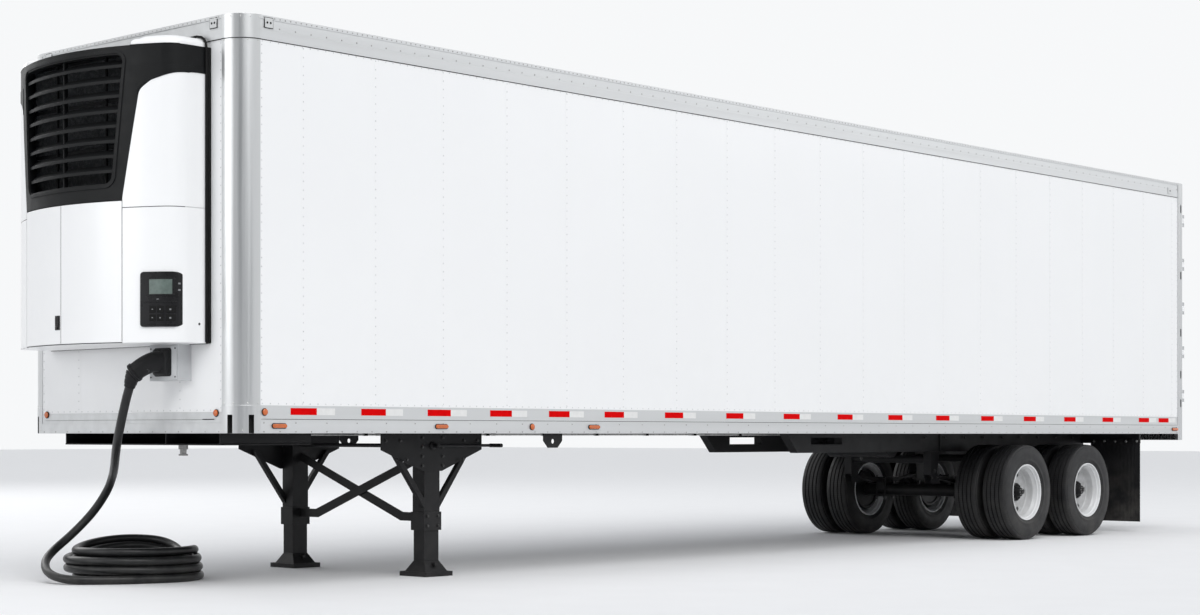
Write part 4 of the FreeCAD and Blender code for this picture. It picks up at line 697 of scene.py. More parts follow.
def side_lamps():
    lenses, cups = Shape(), Shape()
    for x in (FRONT_X - 0.370, FRONT_X - 2.030, FRONT_X - 3.840, REAR_X + 0.200):
        for shape, layers in ((cups, ((0.142, 0.040, 0.0), (0.142, 0.040, 0.005), (0.138, 0.037, 0.007))),
                              (lenses, ((0.134, 0.032, 0.004), (0.132, 0.030, 0.013),
                                        (0.126, 0.024, 0.0175), (0.112, 0.012, 0.0185)))):
            shape.loft([[(x + u, HALF_WIDTH + out, RAIL_LOW + 0.053 + v)
                         for u, v in rounded(length, height, height / 2)] for length, height, out in layers])
    for place, out in (((FRONT_X - 0.236, BAND_Y, 1.289), OUT), ((FRONT_X - 3.072, HALF_WIDTH, 1.190), OUT),
                       ((FRONT_X - 0.004, 1.036, 1.282), AHEAD)):
        cups.turned(((0, 0.0275), (0.005, 0.0275), (0.007, 0.025)), place, out, 24)
        lenses.turned(((0.004, 0.024), (0.012, 0.0235), (0.017, 0.017), (0.019, 0.008)), place, out, 24)
    lenses.mirror().make("marker_lenses", "amber", "amber_lens", replaces=("side_marker_lamps",))
    cups.mirror().make("marker_cups", "seal", "plug_black")


def rear_lamps():
    """Small lamps over the doors, and a large pair on each side of the sill."""
    lenses, cups = Shape(), Shape()
    # (out, share of the lamp's radius)
    cup = ((0.0, 1.18), (0.006, 1.18), (0.009, 1.04))
    lens = ((0.004, 1.0), (0.013, 0.98), (0.018, 0.75), (0.020, 0.3))
    spots = [(0.0, y, 4.030, 0.030) for y in (-1.14, -0.15, 0.0, 0.15, 1.14)]
    spots += [(0.0, -1.07, 1.180, 0.055), (0.010, -0.92, 1.180, 0.055),
              (0.010, 0.92, 1.180, 0.055), (0.0, 1.07, 1.180, 0.055)]
    for stand, y, z, radius in spots:
        for shape, profile in ((cups, cup), (lenses, lens)):
            shape.turned([(out, radius * share) for out, share in profile], (REAR_X - stand, y, z), BACK, 28)
    lenses.make("rear_lenses", "ruby", "amber_lens")
    cups.make("rear_lamp_cups", "seal", "plug_black")


# ---- the cooling unit
UNIT_BOW, UNIT_CORNER = 1.650, 0.200


def on_unit(y, stand=0.0):
    """A point on the unit's bowed skin and its outward direction; past the side it runs straight back."""
    side, reach, hollow = (-1 if y < 0 else 1), min(abs(y), UNIT_HALF), UNIT_HALF - UNIT_CORNER
    centre, radius, across = UNIT_FRONT - UNIT_BOW, UNIT_BOW, reach
    if reach >= hollow * UNIT_BOW / (UNIT_BOW - UNIT_CORNER):
        centre += sqrt((UNIT_BOW - UNIT_CORNER) ** 2 - hollow ** 2)
        radius, across = UNIT_CORNER, reach - hollow
    out = (sqrt(max(0.0, radius ** 2 - across ** 2)) / radius, across / radius)
    x = centre + radius * out[0] - max(0.0, abs(y) - UNIT_HALF)
    return (x + stand * out[0], side * (reach + stand * out[1])), (out[0], side * out[1], 0)


HOOD = ((0.0, 0.0), (0.001, 0.010), (0.006, 0.029), (0.018, 0.047), (0.040, 0.062), (0.075, 0.071),
        (0.120, 0.077), (0.170, 0.079))  # (inset, height) of the hood's round edge
HOOD_START, HOOD_LOW, HOOD_TURN, HOOD_STEPS = 0.650, 3.8955, 0.07, 28
# Where the black surround's lower edge runs over a side cover, as (across, up).
BROW = ((0.700, 3.545), (0.706, 3.570), (0.718, 3.592), (0.736, 3.610), (0.760, 3.624), (0.800, 3.640),
        (0.862, 3.661), (0.905, 3.677), (0.940, 3.690), (0.980, 3.699), (1.040, 3.703), (1.110, 3.703))
BROW_TOP, BROW_STEPS = 3.745, 6


def hoods_and_brows():
    """The tall round hoods on the side covers, and the sweep of the black surround beneath them."""
    last = UNIT_HALF + on_unit(UNIT_HALF)[0][0] - FRONT_X - 0.040
    hood, brow, rings = Shape(), Shape(), []
    for inset, rise in HOOD:
        start = HOOD_START + inset * 1.2
        ring = [(FRONT_X + 0.040, start, HOOD_LOW + rise)]
        for step in range(HOOD_STEPS + 1):
            gone = (last - start) * (step / HOOD_STEPS) ** 1.4
            back = 0.007 + inset + HOOD_TURN - sqrt(HOOD_TURN ** 2 - max(0.0, HOOD_TURN - gone) ** 2)
            ring.append((*on_unit(start + gone, -back)[0], HOOD_LOW + rise))
        rings.append(ring)
    hood.loft(rings)
    edge = [tuple(a + (b - a) * step / BROW_STEPS for a, b in zip(here, after))
            for here, after in zip(BROW, BROW[1:]) for step in range(BROW_STEPS)] + [BROW[-1]]
    brow.loft([[(*on_unit(y, stand)[0], z) for stand, z in
                ((-0.001, low), (0.003, low), (0.003, BROW_TOP), (-0.001, BROW_TOP))] for y, low in edge])
    hood.make_pair("SIDE_unit_hood", "unit", "unit_white", crease=50)
    brow.make_pair("SIDE_surround_brow", "grille", "black_grille")


def controls():
    """The controller's screen, keys and small lights on its bowed plate."""
    screen, keys, marks, rims = (Shape() for _ in range(4))
    screen.skin((0.789, 0.923), (2.120, 2.228), 0.010, 0.0135, 24)
    for span_y, span_z in (((0.778, 0.934), (2.227, 2.238)), ((0.778, 0.934), (2.110, 2.121)),
                           ((0.778, 0.790), (2.121, 2.227)), ((0.922, 0.934), (2.121, 2.227)),
                           ((0.756, 0.938), (1.908, 1.914)), ((0.756, 0.938), (2.064, 2.070))):
        rims.skin(span_y, span_z, 0.010, 0.0165, 24)
    for column, y in enumerate((0.812, 0.862, 0.914)):
        for z in (2.014, 1.954):
            keys.skin((y - 0.020, y + 0.020), (z - 0.024, z + 0.024), 0.011, 0.015, 4)
            marks.skin((y - 0.004, y + 0.004), (z - 0.003 - 0.002 * column, z + 0.004), 0.0148, 0.0154, 2)
    for span_y, span_z in (((0.942, 0.948), (2.190, 2.202)), ((0.942, 0.948), (2.144, 2.156)),
                           ((0.838, 0.852), (2.083, 2.088))):
        marks.skin(span_y, span_z, 0.0118, 0.0130, 2)
    screen.make("controller_screen", "screen", "panel_grey")
    rims.make("controller_rims", "bezel", "panel_grey", bevel=0.001)
    keys.make("controller_keys", "seal", "panel_grey", bevel=0.0015)
    marks.make("controller_marks", "print", "panel_grey")


def unit_hardware():
    """The lower doors' latch, the screws, and the sheet that closes the unit beneath."""
    latch, screws, pan = Shape(), Shape(), Shape()
    latch.skin((-0.072, -0.010), (1.889, 1.994), -0.001, 0.003, 3)
    latch.skin((-0.062, -0.020), (1.912, 1.984), 0.003, 0.007, 3)
    place, out = on_unit(-0.041, 0.003)
    latch.turned(((0, 0.009), (0.006, 0.009), (0.008, 0.007)), (*place, 1.902), out, 16)
    screws.turned(STUD, (FRONT_X + 0.090, UNIT_HALF, 1.916), OUT, 16)
    outline = [on_unit(UNIT_HALF * (step / 24 - 1), -0.003)[0] for step in range(49)]
    outline += [(FRONT_X + 0.030, y) for y in (UNIT_HALF - 0.003, 0.003 - UNIT_HALF)]
    pan.plate([outline], UNIT_LOW - 0.0015, UNIT_LOW - 0.0002, lambda u, v, w: (u, v, w))
    latch.make("unit_door_latch", "bezel", "plug_black", body="right_unit_door", bevel=0.0015)
    screws.mirror().make("unit_screws", "dark_bolt", "stainless")
    pan.make("unit_pan_sheet", "unit", "unit_white")


UNIT_DOOR_HALF, UNIT_DOOR_TOP, COVER_SEAM_Z = 0.588, 2.790, 2.7425
SEAM_INNER, SEAM_OUTER = -0.0045, -0.0015


def unit_seals():
    """The hoop of rubber behind the unit, and dark strips of painted shade in the gaps between its panels and
    along the hoods' lower edge.
    """
    seal, seams, middle, hood_shade_line = (Shape() for _ in range(4))
    edge = UNIT_HALF + 0.011
    seal.tube([(FRONT_X + 0.034, y, z) for y, z in
               ((edge, UNIT_LOW + 0.01), (edge, 3.885), (0.965, 3.922), (0.946, 3.954), (0.912, 3.974),
                (0.860, 3.984), (0.730, 3.982), (0.690, 3.960), (0.672, 3.905))], 0.009)
    seal.block((FRONT_X - 0.006, UNIT_HALF - 0.02, UNIT_LOW + 0.004), (FRONT_X + 0.020, edge + 0.005, 3.892))
    seal.mirror().tube([(FRONT_X + 0.012, y, UNIT_LOW) for y in (-UNIT_HALF, UNIT_HALF)], 0.004)
    upright, level = (UNIT_LOW + 0.010, UNIT_DOOR_TOP), (COVER_SEAM_Z - 0.0023, COVER_SEAM_Z + 0.0023)
    # Painted shade: dark strips sunk in the gaps beside the doors and along the covers' seam.
    seams.skin((UNIT_DOOR_HALF, UNIT_DOOR_HALF + 0.0028), upright, SEAM_INNER, SEAM_OUTER, 1)
    seams.skin((UNIT_DOOR_HALF + 0.005, UNIT_HALF - 0.002), level, SEAM_INNER, SEAM_OUTER, 20)
    # Painted shade in the gap between the two doors.
    middle.skin((-0.0030, -0.0004), upright, SEAM_INNER, SEAM_OUTER, 1)
    # Painted shadow: a dark line along the hoods' lower edge.
    hood_shade_line.skin((0.650, 0.948), (3.8935, 3.8985), -0.008, 0.0015, 14)
    seal.make("unit_seal", "seal", "plug_black")
    seams.mirror().make("unit_seams", "seal", "plug_black")
    middle.make("unit_door_edge", "seal", "plug_black", body="right_unit_door")
    hood_shade_line.mirror().make("unit_hood_lips", "seal", "black_grille")


def condenser():
    """Fins and their frame, behind the louvres."""
    fins, bars = Shape(), Shape()
    face = UNIT_FRONT - 0.210
    for index in range(120):
        y = -0.607 + 0.0102 * index
        fins.block((face, y, 2.870), (face + 0.010, y + 0.0016, 3.862))
    bars.tube([(face + 0.024, 0.30, z) for z in (2.87, 3.86)], 0.010)
    bars.mirror()
    for z in (2.872, 3.205, 3.538, 3.858):
        bars.block((face + 0.010, -0.612, z - 0.012), (face + 0.016, 0.612, z + 0.012))
    fins.make("condenser_fins", "engine", "unit_frame_metal")
    bars.make("condenser_frame", "grille", "unit_frame_metal", bevel=0.001)


def socket_hardware():
    """The socket box's raised face plate, its hood lip and its screws."""
    low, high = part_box("socket_box")
    middle_y, middle_z = (low.y + high.y) / 2, (low.z + high.z) / 2
    plate, screws, trim = Shape(), Shape(), Shape()
    plate.loft([[(high.x + out, middle_y + u, middle_z - 0.003 + v) for u, v in rounded(*size, 0.012)]
                for out, size in ((0.0, (0.310, 0.244)), (0.006, (0.310, 0.244)), (0.008, (0.304, 0.238)))])
    for y in (low.y + 0.024, high.y - 0.024):
        for z in (low.z + 0.026, high.z - 0.030):
            screws.turned(SCREW, (high.x + 0.008, y, z), AHEAD, 12)
    trim.block((low.x, low.y - 0.008, high.z - 0.003), (high.x + 0.006, high.y + 0.008, high.z + 0.001))
    plate.make("socket_plate", "socket", "socket_grey", bevel=0.001)
    screws.make("socket_screws", "dark_bolt", "stainless")
    trim.make("socket_trim", "socket", "socket_grey", bevel=0.001)


# ---- wheels
TREAD_HALF, GROOVES = 0.116, (-0.072, -0.025, 0.025, 0.072)
# Outlines from the middle of a pair, as (outward, radius); the rim and the drum are closed.
SIDEWALL = ((0.1225, 0.498), (0.1265, 0.488), (0.1250, 0.480), (0.1305, 0.476), (0.1350, 0.455),
            (0.1385, 0.430), (0.1396, 0.405), (0.1388, 0.375), (0.1350, 0.348), (0.1370, 0.343),
            (0.1370, 0.336), (0.1320, 0.330), (0.1240, 0.314), (0.1225, 0.308), (0.1120, 0.3015),
            (0.1050, 0.2990), (0.1045, 0.2845))
RIM = ((0.285, 0.2985), (0.287, 0.3005), (0.290, 0.2985), (0.288, 0.287), (0.276, 0.284), (0.262, 0.281),
       (0.256, 0.271), (0.236, 0.268), (0.214, 0.2535), (0.150, 0.2505), (0.141, 0.245), (0.127, 0.245),
       (0.085, 0.274), (0.049, 0.274), (0.049, 0.2985), (0.061, 0.2985), (0.061, 0.284), (0.085, 0.284),
       (0.131, 0.262), (0.203, 0.262), (0.223, 0.284), (0.273, 0.284), (0.273, 0.2985))
DRUM = ((-0.078, 0.080), (-0.078, 0.206), (-0.086, 0.214), (-0.240, 0.214), (-0.246, 0.220), (-0.252, 0.220),
        (-0.252, 0.194), (-0.098, 0.194), (-0.098, 0.080))
# A dark disc of painted shade just behind the outer disc, where the space between the two discs is unlit.
HOLE_SHADE_DISC = ((0.118, 0.080), (0.118, 0.236), (0.125, 0.236), (0.125, 0.080))
HUB = ((-0.270, 0.080), (0.141, 0.080), (0.141, 0.097), (0.160, 0.097), (0.165, 0.094), (0.167, 0.089),
       (0.167, 0.065), (0.172, 0.062), (0.196, 0.053), (0.205, 0.050), (0.214, 0.047), (0.218, 0.044),
       (0.220, 0.038), (0.220, 0.018), (0.217, 0.016))
NUT = ((0, 0.013), (0.003, 0.013), (0.003, 0.0105), (0.011, 0.0105), (0.012, 0.008))


def tyre_outline():
    """(across, radius) of a tyre, from one bead over the grooved tread to the other."""
    top = [(-TREAD_HALF, 0.0)]
    for groove in GROOVES:
        top += [(groove - 0.0065, 0.0), (groove - 0.0045, 0.013), (groove + 0.0045, 0.013),
                (groove + 0.0065, 0.0)]
    top = [(across, 0.5095 - 0.006 * (across / TREAD_HALF) ** 2 - depth)
           for across, depth in top + [(TREAD_HALF, 0.0)]]
    return (*((-across, radius) for across, radius in reversed(SIDEWALL)), *top, *SIDEWALL)


def wheel_pairs(end, axle_x):
    """One axle's grooved tyres, rims with pierced discs, the black hubs and drums between them, and a dark
    disc of painted shade behind the outer discs' holes.
    """
    def spot(out, radius=0.0, degrees=0.0):
        across, up = polar(radius, degrees)
        return axle_x + across, WHEEL_Y + out, WHEEL_Z + up

    def ring(shape, profile, sides, out=0.0, way=1):
        shape.turned([(way * along, radius) for along, radius in profile + profile[:1]], spot(out), OUT,
                     sides, False)

    tyres, rims, hubs_and_shade, nuts, small = (Shape() for _ in range(5))
    for way in (-1, 1):
        ring(tyres, tyre_outline(), 96, way * 0.167)
        ring(rims, RIM, 96, way=way)
    for low, high, reach in ((0.127, 0.139, 0.2525), (-0.070, -0.058, 0.2745)):
        openings = [circle(0.027, 24, *polar(0.196, 180 + 72 * index)) for index in range(5)]
        rims.plate([circle(reach, 96), circle(0.079, 48)] + openings, low, high,
                   lambda u, v, w: (axle_x + u, WHEEL_Y + w, WHEEL_Z + v))
    ring(hubs_and_shade, DRUM, 64)
    # The dark disc of painted shade behind the outer disc's holes.
    ring(hubs_and_shade, HOLE_SHADE_DISC, 64)
    hubs_and_shade.turned(HUB, spot(0.0), OUT, 48)
    for index in range(10):
        nuts.turned(NUT, spot(0.167, 0.077, 36 * index + 18), OUT, 6)
    for index in range(6):
        small.turned(CAP_BOLT, spot(0.220, 0.030, 60 * index), OUT, 6)
    small.tube([spot(0.150, 0.262), spot(0.176, 0.244), spot(0.215, 0.240)], (0.006, 0.006, 0.0075), 12)
    pair, disc = end + "_SIDE_wheel_pair", (end + "_SIDE_wheels",)
    tyres.make_pair(pair + "_tyres", end + "_tyre", "tyre", pair, (end + "_SIDE_tyres",), crease=40)
    rims.make_pair(pair + "_rims", end + "_wheel", "wheel_white", pair, disc, crease=28)
    hubs_and_shade.make_pair(pair + "_hub", "hub", "black_steel", pair, disc, crease=28)
    nuts.make_pair(pair + "_nuts", "hub", "bare_steel", pair)
    small.make_pair(pair + "_cap_bolts", "bare", "bare_steel", pair)


# ---- landing gear and running gear
def landing_details():
    bolts, pads = Shape(), Shape()
    face = LEG_Y + 0.073
    for x in (-0.115, 0.115):
        bolts.row(BOLT, (LEG_X + x, face, 0.880), (LEG_X + x, face, 1.105), 0.075, OUT, 6)
    spots = [(x, face, 1.080) for x in (-0.52, -0.36, 0.36, 0.52)]
    spots += [(x, face + 0.002, z) for x in (-0.060, 0.060) for z in (0.400, 0.478)]
    spots += [(x, face + 0.032, 0.93) for x in (-0.319, 0.319)]
    for x, y, z in spots:
        bolts.turned(BOLT, (LEG_X + x, y, z), OUT, 6)
    for x in (-0.125, 0.125):
        for y in (-0.125, 0.125):
            bolts.turned(BOLT, (LEG_X + x, LEG_Y + y, 0.012), UP, 6)
    bolts.mirror()
    for z in (1.005, 1.075):
        for x in (-0.055, 0.055):
            bolts.turned(BOLT, (LEG_X + x, LEG_Y - 0.135, z), (0, -1, 0), 6)
    pads.tube([(LEG_X, LEG_Y - 0.115, 0.092), (LEG_X, LEG_Y + 0.115, 0.092)], 0.016, 16)
    pads.turned(((0, 0.034), (0.010, 0.034), (0.014, 0.028), (0.014, 0.018), (0.020, 0.016)),
                (LEG_X, face, 1.040), OUT, 24)
    bolts.make("leg_bolts", "dark_bolt", "black_steel")
    pads.mirror().make("leg_bosses", "steel", "black_steel", bevel=0.001)


def coupler_details():
    """Countersunk bolts and weld runs on the coupler plate, and bolts round the kingpin's flange."""
    heads, welds = Shape(), Shape()
    low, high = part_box("coupler_plate")
    pin = sum(corner.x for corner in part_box("kingpin")) / 2
    for index in range(8):
        ahead, across = polar(0.060, 45 * index + 22.5)
        heads.turned(COUNTERSUNK, (pin + ahead, across, low.z), DOWN, 12)
    welds.tube([(x, high.y - 0.004, low.z + 0.011) for x in (low.x + 0.02, high.x - 0.03)], 0.005, 6)
    heads.make("coupler_screws", "zinc", "bare_steel")
    welds.mirror().make("coupler_welds", "steel", "black_steel")


def bogie_details():
    bolts, bands, pipes = Shape(), Shape(), Shape()
    outer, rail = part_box("spring_hangers")[1].y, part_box("bogie_rails")[1].y
    spread = AXLES[0][1] - AXLES[1][1]
    for index in range(3):
        x = AXLES[0][1] + spread * (0.5 - index)
        for shift in (-0.045, 0.045):
            bolts.turned(BOLT, (x + shift, outer, 0.665), OUT, 6)
        bolts.turned(((0, 0.024), (0.012, 0.024), (0.014, 0.020)), (x, outer, 0.735), OUT, 6)
    bolts.row(BOLT, (-3.10, rail, 1.095), (-6.30, rail, 1.095), 0.40, OUT, 6)
    for _, axle_x in AXLES:
        for x in (-0.073, 0.073):
            for y in (0.446, 0.554):
                bolts.turned(U_BOLT_NUT, (axle_x + x, y, WHEEL_Z - 0.079), DOWN, 6)
        for shift, radius in ((-0.018, 0.090), (0.050, 0.086), (-0.066, 0.086)):
            bands.turned(((shift - 0.007, 0.082), (shift - 0.006, radius), (shift + 0.006, radius),
                          (shift + 0.007, 0.082)), (axle_x - 0.205, 0.330, WHEEL_Z + 0.041), AHEAD, 36, False)
    pipes.tube([(5.90, 0.30, 1.127), (-2.55, 0.30, 1.127)], 0.008, 8)
    for index in range(12):
        x = 5.60 - 0.72 * index
        bands.block((x - 0.012, 0.280, 1.117), (x + 0.012, 0.320, 1.1375))
    bolts.mirror()
    bands.mirror()
    for _, axle_x in AXLES:
        for y in (-0.330, 0.330):
            for across, up in (polar(0.098, 60), polar(0.098, 240)):
                spot = (axle_x - 0.223, y + across, WHEEL_Z + 0.041 + up)
                bands.block([c - 0.010 for c in spot], [c + 0.010 for c in spot])
    low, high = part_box("air_tank")
    middle = (low.x + high.x) / 2
    for y in (-0.22, 0.22):
        bands.turned(((y - 0.020, 0.1185), (y - 0.019, 0.1215), (y + 0.019, 0.1215), (y + 0.020, 0.1185)),
                     (middle, 0.0, low.z + 0.118), OUT, 40, False)
    bolts.turned(((0, 0.014), (0.020, 0.014), (0.022, 0.008), (0.040, 0.006)), (middle, 0, low.z + 0.001),
                 DOWN, 6)
    bolts.make("bogie_bolts", "dark_bolt", "black_steel")
    bands.make("bogie_bands", "steel", "black_steel", bevel=0.001)
    pipes.mirror().make("air_pipes", "zinc", "stainless")


def flap_details():
    bars, bolts = Shape(), Shape()
    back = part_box("mud_flaps")[1].x
    bars.block((back, 0.690, 1.030), (back + 0.005, 1.280, 1.070))
    bolts.row(BOLT, (back + 0.005, 0.720, 1.050), (back + 0.005, 1.250, 1.050), 0.12, AHEAD, 6)
    bars.mirror().make("flap_clamps", "steel", "black_steel", bevel=0.001)
    bolts.mirror().make("flap_bolts", "zinc", "stainless")


# ---- rear doors and load space
def rear_door_details():
    face = REAR_X - 0.006
    low, high = (corner.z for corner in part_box("left_rear_door"))
    seal, bolts, plates, red, white = (Shape() for _ in range(5))
    inner, outer, lip = 0.004, 1.2275, 0.016
    for a, b, c, d in ((inner, outer, low, low + lip), (inner, outer, high - lip, high),
                       (inner, inner + lip, low, high), (outer - lip, outer, low, high)):
        seal.block((face - 0.003, a, c), (face, b, d))
        seal.block((face + 0.084, a, c), (face + 0.092, b, d))
    for index in range(5):
        z = low + (high - low) * (2 * index + 1) / 10
        for y in (1.000, 1.080, 1.160, 1.235):
            bolts.turned(BOLT, (face - 0.010, y, z), BACK, 6)
    for rod in (0.150, 0.620):
        for z in (low + 0.080, low + 0.700, high - 0.700, high - 0.130):
            plates.block((face - 0.006, rod - 0.030, z - 0.006), (face, rod + 0.030, z + 0.056))
            for y in (rod - 0.022, rod + 0.022):
                bolts.turned(RIVET, (face - 0.006, y, z + 0.025), BACK, 10)
        grip, end = low + 0.560, rod + 0.250
        plates.block((face - 0.008, end - 0.030, grip - 0.040), (face, end + 0.030, grip + 0.070))
        plates.block((face - 0.046, end - 0.012, grip - 0.012), (face - 0.006, end + 0.012, grip - 0.003))
        plates.block((face - 0.050, end - 0.012, grip - 0.012), (face - 0.043, end + 0.012, grip + 0.036))
    film = face - 0.0006
    for index in range(5):
        a = 0.10 + 0.21 * index
        (white if index % 2 else red).block((film, a, low + 0.030), (face, a + 0.21, low + 0.080))
    white.block((film, 0.905, high - 0.075), (face, 1.205, high - 0.025))
    white.block((film, 1.155, high - 0.325), (face, 1.205, high - 0.075))
    body = "SIDE_rear_door"
    seal.make_pair("SIDE_door_seal", "seal", "plug_black", body)
    bolts.make_pair("SIDE_door_bolts", "zinc", "stainless", body)
    plates.make_pair("SIDE_door_plates", "stainless", "stainless", body, bevel=0.0015)
    red.make_pair("SIDE_door_red_tape", "red_tape", "amber_lens", body)
    white.make_pair("SIDE_door_white_tape", "white_tape", "white_door", body)


def load_space():
    """T-section floor, scuff bands, ceiling joints and the return-air bulkhead."""
    t_bars, lining, bulkhead = Shape(), Shape(), Shape()
    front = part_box("front_wall")[0].x
    joints = [BOX_REAR + 0.6 + 1.2192 * index for index in range(11)]
    for index in range(47):
        y = -1.173 + 0.051 * index
        for half, low, high in ((0.004, 0.0, 0.024), (0.017, 0.024, 0.028)):
            t_bars.block((BOX_REAR + 0.012, y - half, FLOOR_Z + low),
                         (front - 0.10, y + half, FLOOR_Z + high))
    lining.block((BOX_REAR, INNER_Y - 0.004, FLOOR_Z), (front, INNER_Y, FLOOR_Z + 0.30))
    for x in joints:
        lining.block((x, INNER_Y - 0.003, FLOOR_Z + 0.30), (x + 0.05, INNER_Y, 4.03))
    lining.mirror()
    for x in joints:
        lining.block((x, -INNER_Y, 4.028), (x + 0.05, INNER_Y, 4.0315))
    bulkhead.block((front - 0.060, -1.15, FLOOR_Z + 0.20), (front - 0.050, 1.15, 3.70))
    for index in range(16):
        z = FLOOR_Z + 0.06 + 0.030 * index
        bulkhead.block((front - 0.075, -1.15, z), (front - 0.060, 1.15, z + 0.010))
    for y in (-1.15, -0.4, 0.4, 1.11):
        bulkhead.block((front - 0.050, y, FLOOR_Z + 0.03), (front, y + 0.04, 3.70))
    bulkhead.block((front - 0.55, -0.70, 3.78), (front, 0.70, 4.030))
    t_bars.make("floor_t_bars", "floor", "floor_aluminium")
    lining.make("wall_lining", "lining", "white_panel")
    bulkhead.make("return_air_bulkhead", "lining", "white_panel", bevel=0.003)


# ---- the power cable
CABLE_RADIUS = 0.033
# The free runs, as the CAD holds them: offsets from the front face, the middle and the ground.
HANGING_RUN = (
    (0.300, 0.441, 1.520), (0.303, 0.425, 1.470), (0.297, 0.375, 1.380), (0.262, 0.270, 1.220),
    (0.173, 0.103, 1.074), (0.031, -0.108, 0.960), (-0.139, -0.348, 0.873), (-0.298, -0.585, 0.800),
    (-0.360, -0.730, 0.690), (-0.314, -0.850, 0.519), (-0.145, -0.905, 0.346), (0.039, -0.897, 0.229),
    (0.186, -0.797, 0.158), (0.279, -0.648, 0.090), (0.301, -0.483, 0.050), (0.247, -0.335, 0.033),
    (0.087, -0.199, 0.033), (-0.090, -0.093, 0.033))
COIL_CENTRE = (-0.454, -0.513)
COIL_START = 60
# Radius and height that each turn of the coil lies at, from the first on the ground to the tail's own.
COIL_TURNS = ((0.517, 0.033), (0.452, 0.033), (0.386, 0.034), (0.450, 0.099), (0.515, 0.099), (0.511, 0.165),
              (0.446, 0.165), (0.384, 0.190), (0.437, 0.231))
# Degrees round the coil where the first turn has moved to the next, how far before that each later one does.
MOVE_AT, MOVE_STEP, MOVE_SPREAD = 292, 17, 60
STEPS_A_TURN = 18
TAIL_RUN = (  # degrees round the coil, radius, height
    (82, 0.437, 0.231), (104, 0.440, 0.231), (126, 0.457, 0.232), (147, 0.490, 0.230), (168, 0.540, 0.200),
    (188, 0.592, 0.140), (208, 0.625, 0.085), (228, 0.635, 0.052), (247, 0.630, 0.045))


def coil_point(degrees, radius, height):
    """A point round the coil, whose upper turns ride over the crossings at its back."""
    share, (across, along) = (height - CABLE_RADIUS) / 0.198, polar(radius, degrees)
    rise = 0.07 * share * max(0.0, cos(radians(degrees - 232))) ** 1.5
    return (FRONT_X + COIL_CENTRE[0] + across + 0.016 * share, COIL_CENTRE[1] + along - 0.012 * share,
            height + rise)


def cable_route():
    route = [(FRONT_X + x, y, z) for x, y, z in HANGING_RUN]
    for turn, (here, after) in enumerate(zip(COIL_TURNS, COIL_TURNS[1:])):
        for step in range(STEPS_A_TURN):
            degrees = COIL_START + 360 * step / STEPS_A_TURN
            moved = (degrees - MOVE_AT + MOVE_STEP * turn) / MOVE_SPREAD + 0.5
            moved = min(max(moved, 0.0), 1.0)
            moved *= moved * (3 - 2 * moved)
            route.append(coil_point(degrees, *(a + (b - a) * moved for a, b in zip(here, after))))
    return route + [coil_point(*point) for point in ((COIL_START, *COIL_TURNS[-1]), *TAIL_RUN)]


def spline(name, route, radius):
    curve = bpy.data.curves.new(name, "CURVE")
    curve.dimensions = "3D"
    line = curve.splines.new("NURBS")
    line.points.add(len(route) - 1)
    for point, place in zip(line.points, route):
        point.co = (*place, 1)
    line.order_u = 3
    line.use_endpoint_u = True
    curve.resolution_u, curve.bevel_resolution, curve.bevel_depth = 8, 6, radius
    return put(name, curve)


def line_of(route):
    """Points along the spline itself."""
    probe = spline("probe", route, 0)
    places = [v.co.copy() for v in bpy.data.meshes.new_from_object(probe).vertices]
    bpy.data.objects.remove(probe)
    return places


def walk(points, pitch, reach):
    """Evenly spaced points along a line, as far as a distance."""
    gone, wanted, path = 0.0, 0.0, []
    for before, after in zip(points, points[1:]):
        length = (after - before).length
        while wanted <= min(gone + length, reach):
            path.append(before.lerp(after, (wanted - gone) / length))
            wanted += pitch
        gone += length
    return path


COLLAR = (0.286, 0.458, 1.574)


def strain_relief(line):
    """A stepped, ribbed sleeve that tapers from the plug's collar along the first of the cable."""
    path = walk([Vector((FRONT_X + COLLAR[0], *COLLAR[1:]))] + line, 0.004, 0.112)
    radii = [0.060 - 0.013 * index / (len(path) - 1) - (0.0035 if index % 8 in (6, 7) else 0.0)
             - 0.002 * (index // 8) for index in range(len(path))]
    path.append(path[-1].lerp(path[-2], -1.2))
    sleeve = Shape()
    sleeve.tube(path, radii + [0.035], 32)
    return sleeve.make("strain_relief", "plug", "plug_black", crease=50)


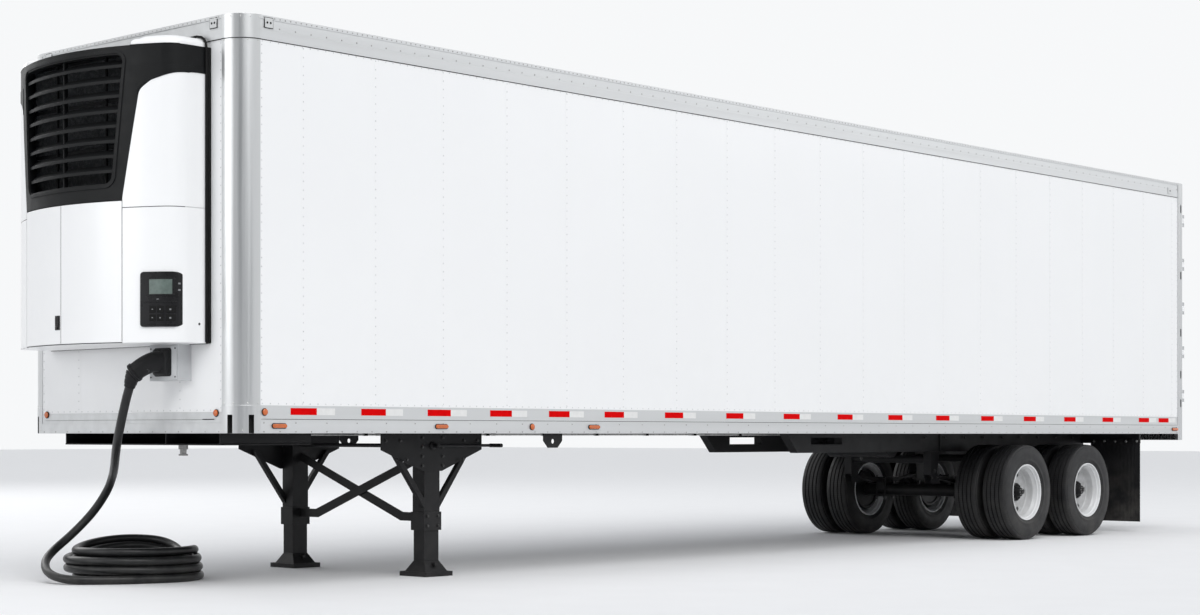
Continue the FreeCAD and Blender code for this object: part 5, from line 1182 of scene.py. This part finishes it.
def power_plug():
    """The square housing on the socket, and the swept elbow that ends in a collar."""
    face, middle_y, middle_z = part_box("socket_box")[1].x + 0.006, 0.585, 1.652
    plug, bolts = Shape(), Shape()
    for layers in (((0.0, 0.196, 0.206, 0.022), (0.010, 0.196, 0.206, 0.022), (0.013, 0.190, 0.200, 0.020)),
                   ((0.012, 0.180, 0.192, 0.024), (0.030, 0.178, 0.190, 0.026), (0.038, 0.166, 0.176, 0.040),
                    (0.042, 0.150, 0.160, 0.060))):
        plug.loft([[(face + out, middle_y + u, middle_z + v) for u, v in rounded(width, height, radius)]
                   for out, width, height, radius in layers])
    first, bend, last = (Vector((FRONT_X + x, y, z)) for x, y, z in
                         ((0.130, middle_y, 1.655), (0.215, 0.560, 1.672), COLLAR))
    shares = [step / 16 for step in range(17)]
    path = [first.lerp(bend, share).lerp(bend.lerp(last, share), share) for share in shares]
    plug.tube(path, [0.078 - 0.012 * share for share in shares], 36)
    plug.turned(((-0.018, 0.064), (-0.016, 0.074), (0.006, 0.074), (0.010, 0.068), (0.010, 0.055)), last,
                path[-1] - path[-2], 36)
    bolts.turned(((-0.010, 0.017), (0.004, 0.017), (0.006, 0.015), (0.006, 0.010), (0.001, 0.009)),
                 path[8] + Vector((0.040, 0.026, -0.052)), (0.58, 0.36, -0.73), 20)
    for y in (-0.080, 0.080):
        for z in (-0.085, 0.085):
            bolts.turned(SCREW, (face + 0.013, middle_y + y, middle_z + z), AHEAD, 12)
    bolts.make("plug_bolts", "dark_bolt", "plug_black")
    plug.make("power_plug", "plug", "plug_black", crease=50, replaces=("cable_plug",))


def power_cable():
    route = cable_route()
    cable = spline("power_cable", route, CABLE_RADIUS)
    cable.data.materials.append(LOOK["cable"])
    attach(cable, BODY)
    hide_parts("cable", "cable_coil", "cable_tail")
    line = line_of(route)
    total = sum((a - b).length for a, b in zip(line, line[1:]))
    print("cable length %.3f" % total)
    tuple(route[0])
    strain_relief(line)
    power_plug()


camera()
LOOK = finishes()
studio()
power_cable()
dress_frame()
side_skins()
front_skin()
rail_rivets()
corner_fittings()
roof_bows()
tape()
side_lamps()
rear_lamps()
hoods_and_brows()
controls()
unit_hardware()
unit_seals()
condenser()
socket_hardware()
for axle, axle_place in AXLES:
    wheel_pairs(axle, axle_place)
landing_details()
coupler_details()
bogie_details()
flap_details()
rear_door_details()
load_space()

SCENE.view_settings.view_transform = "Standard"
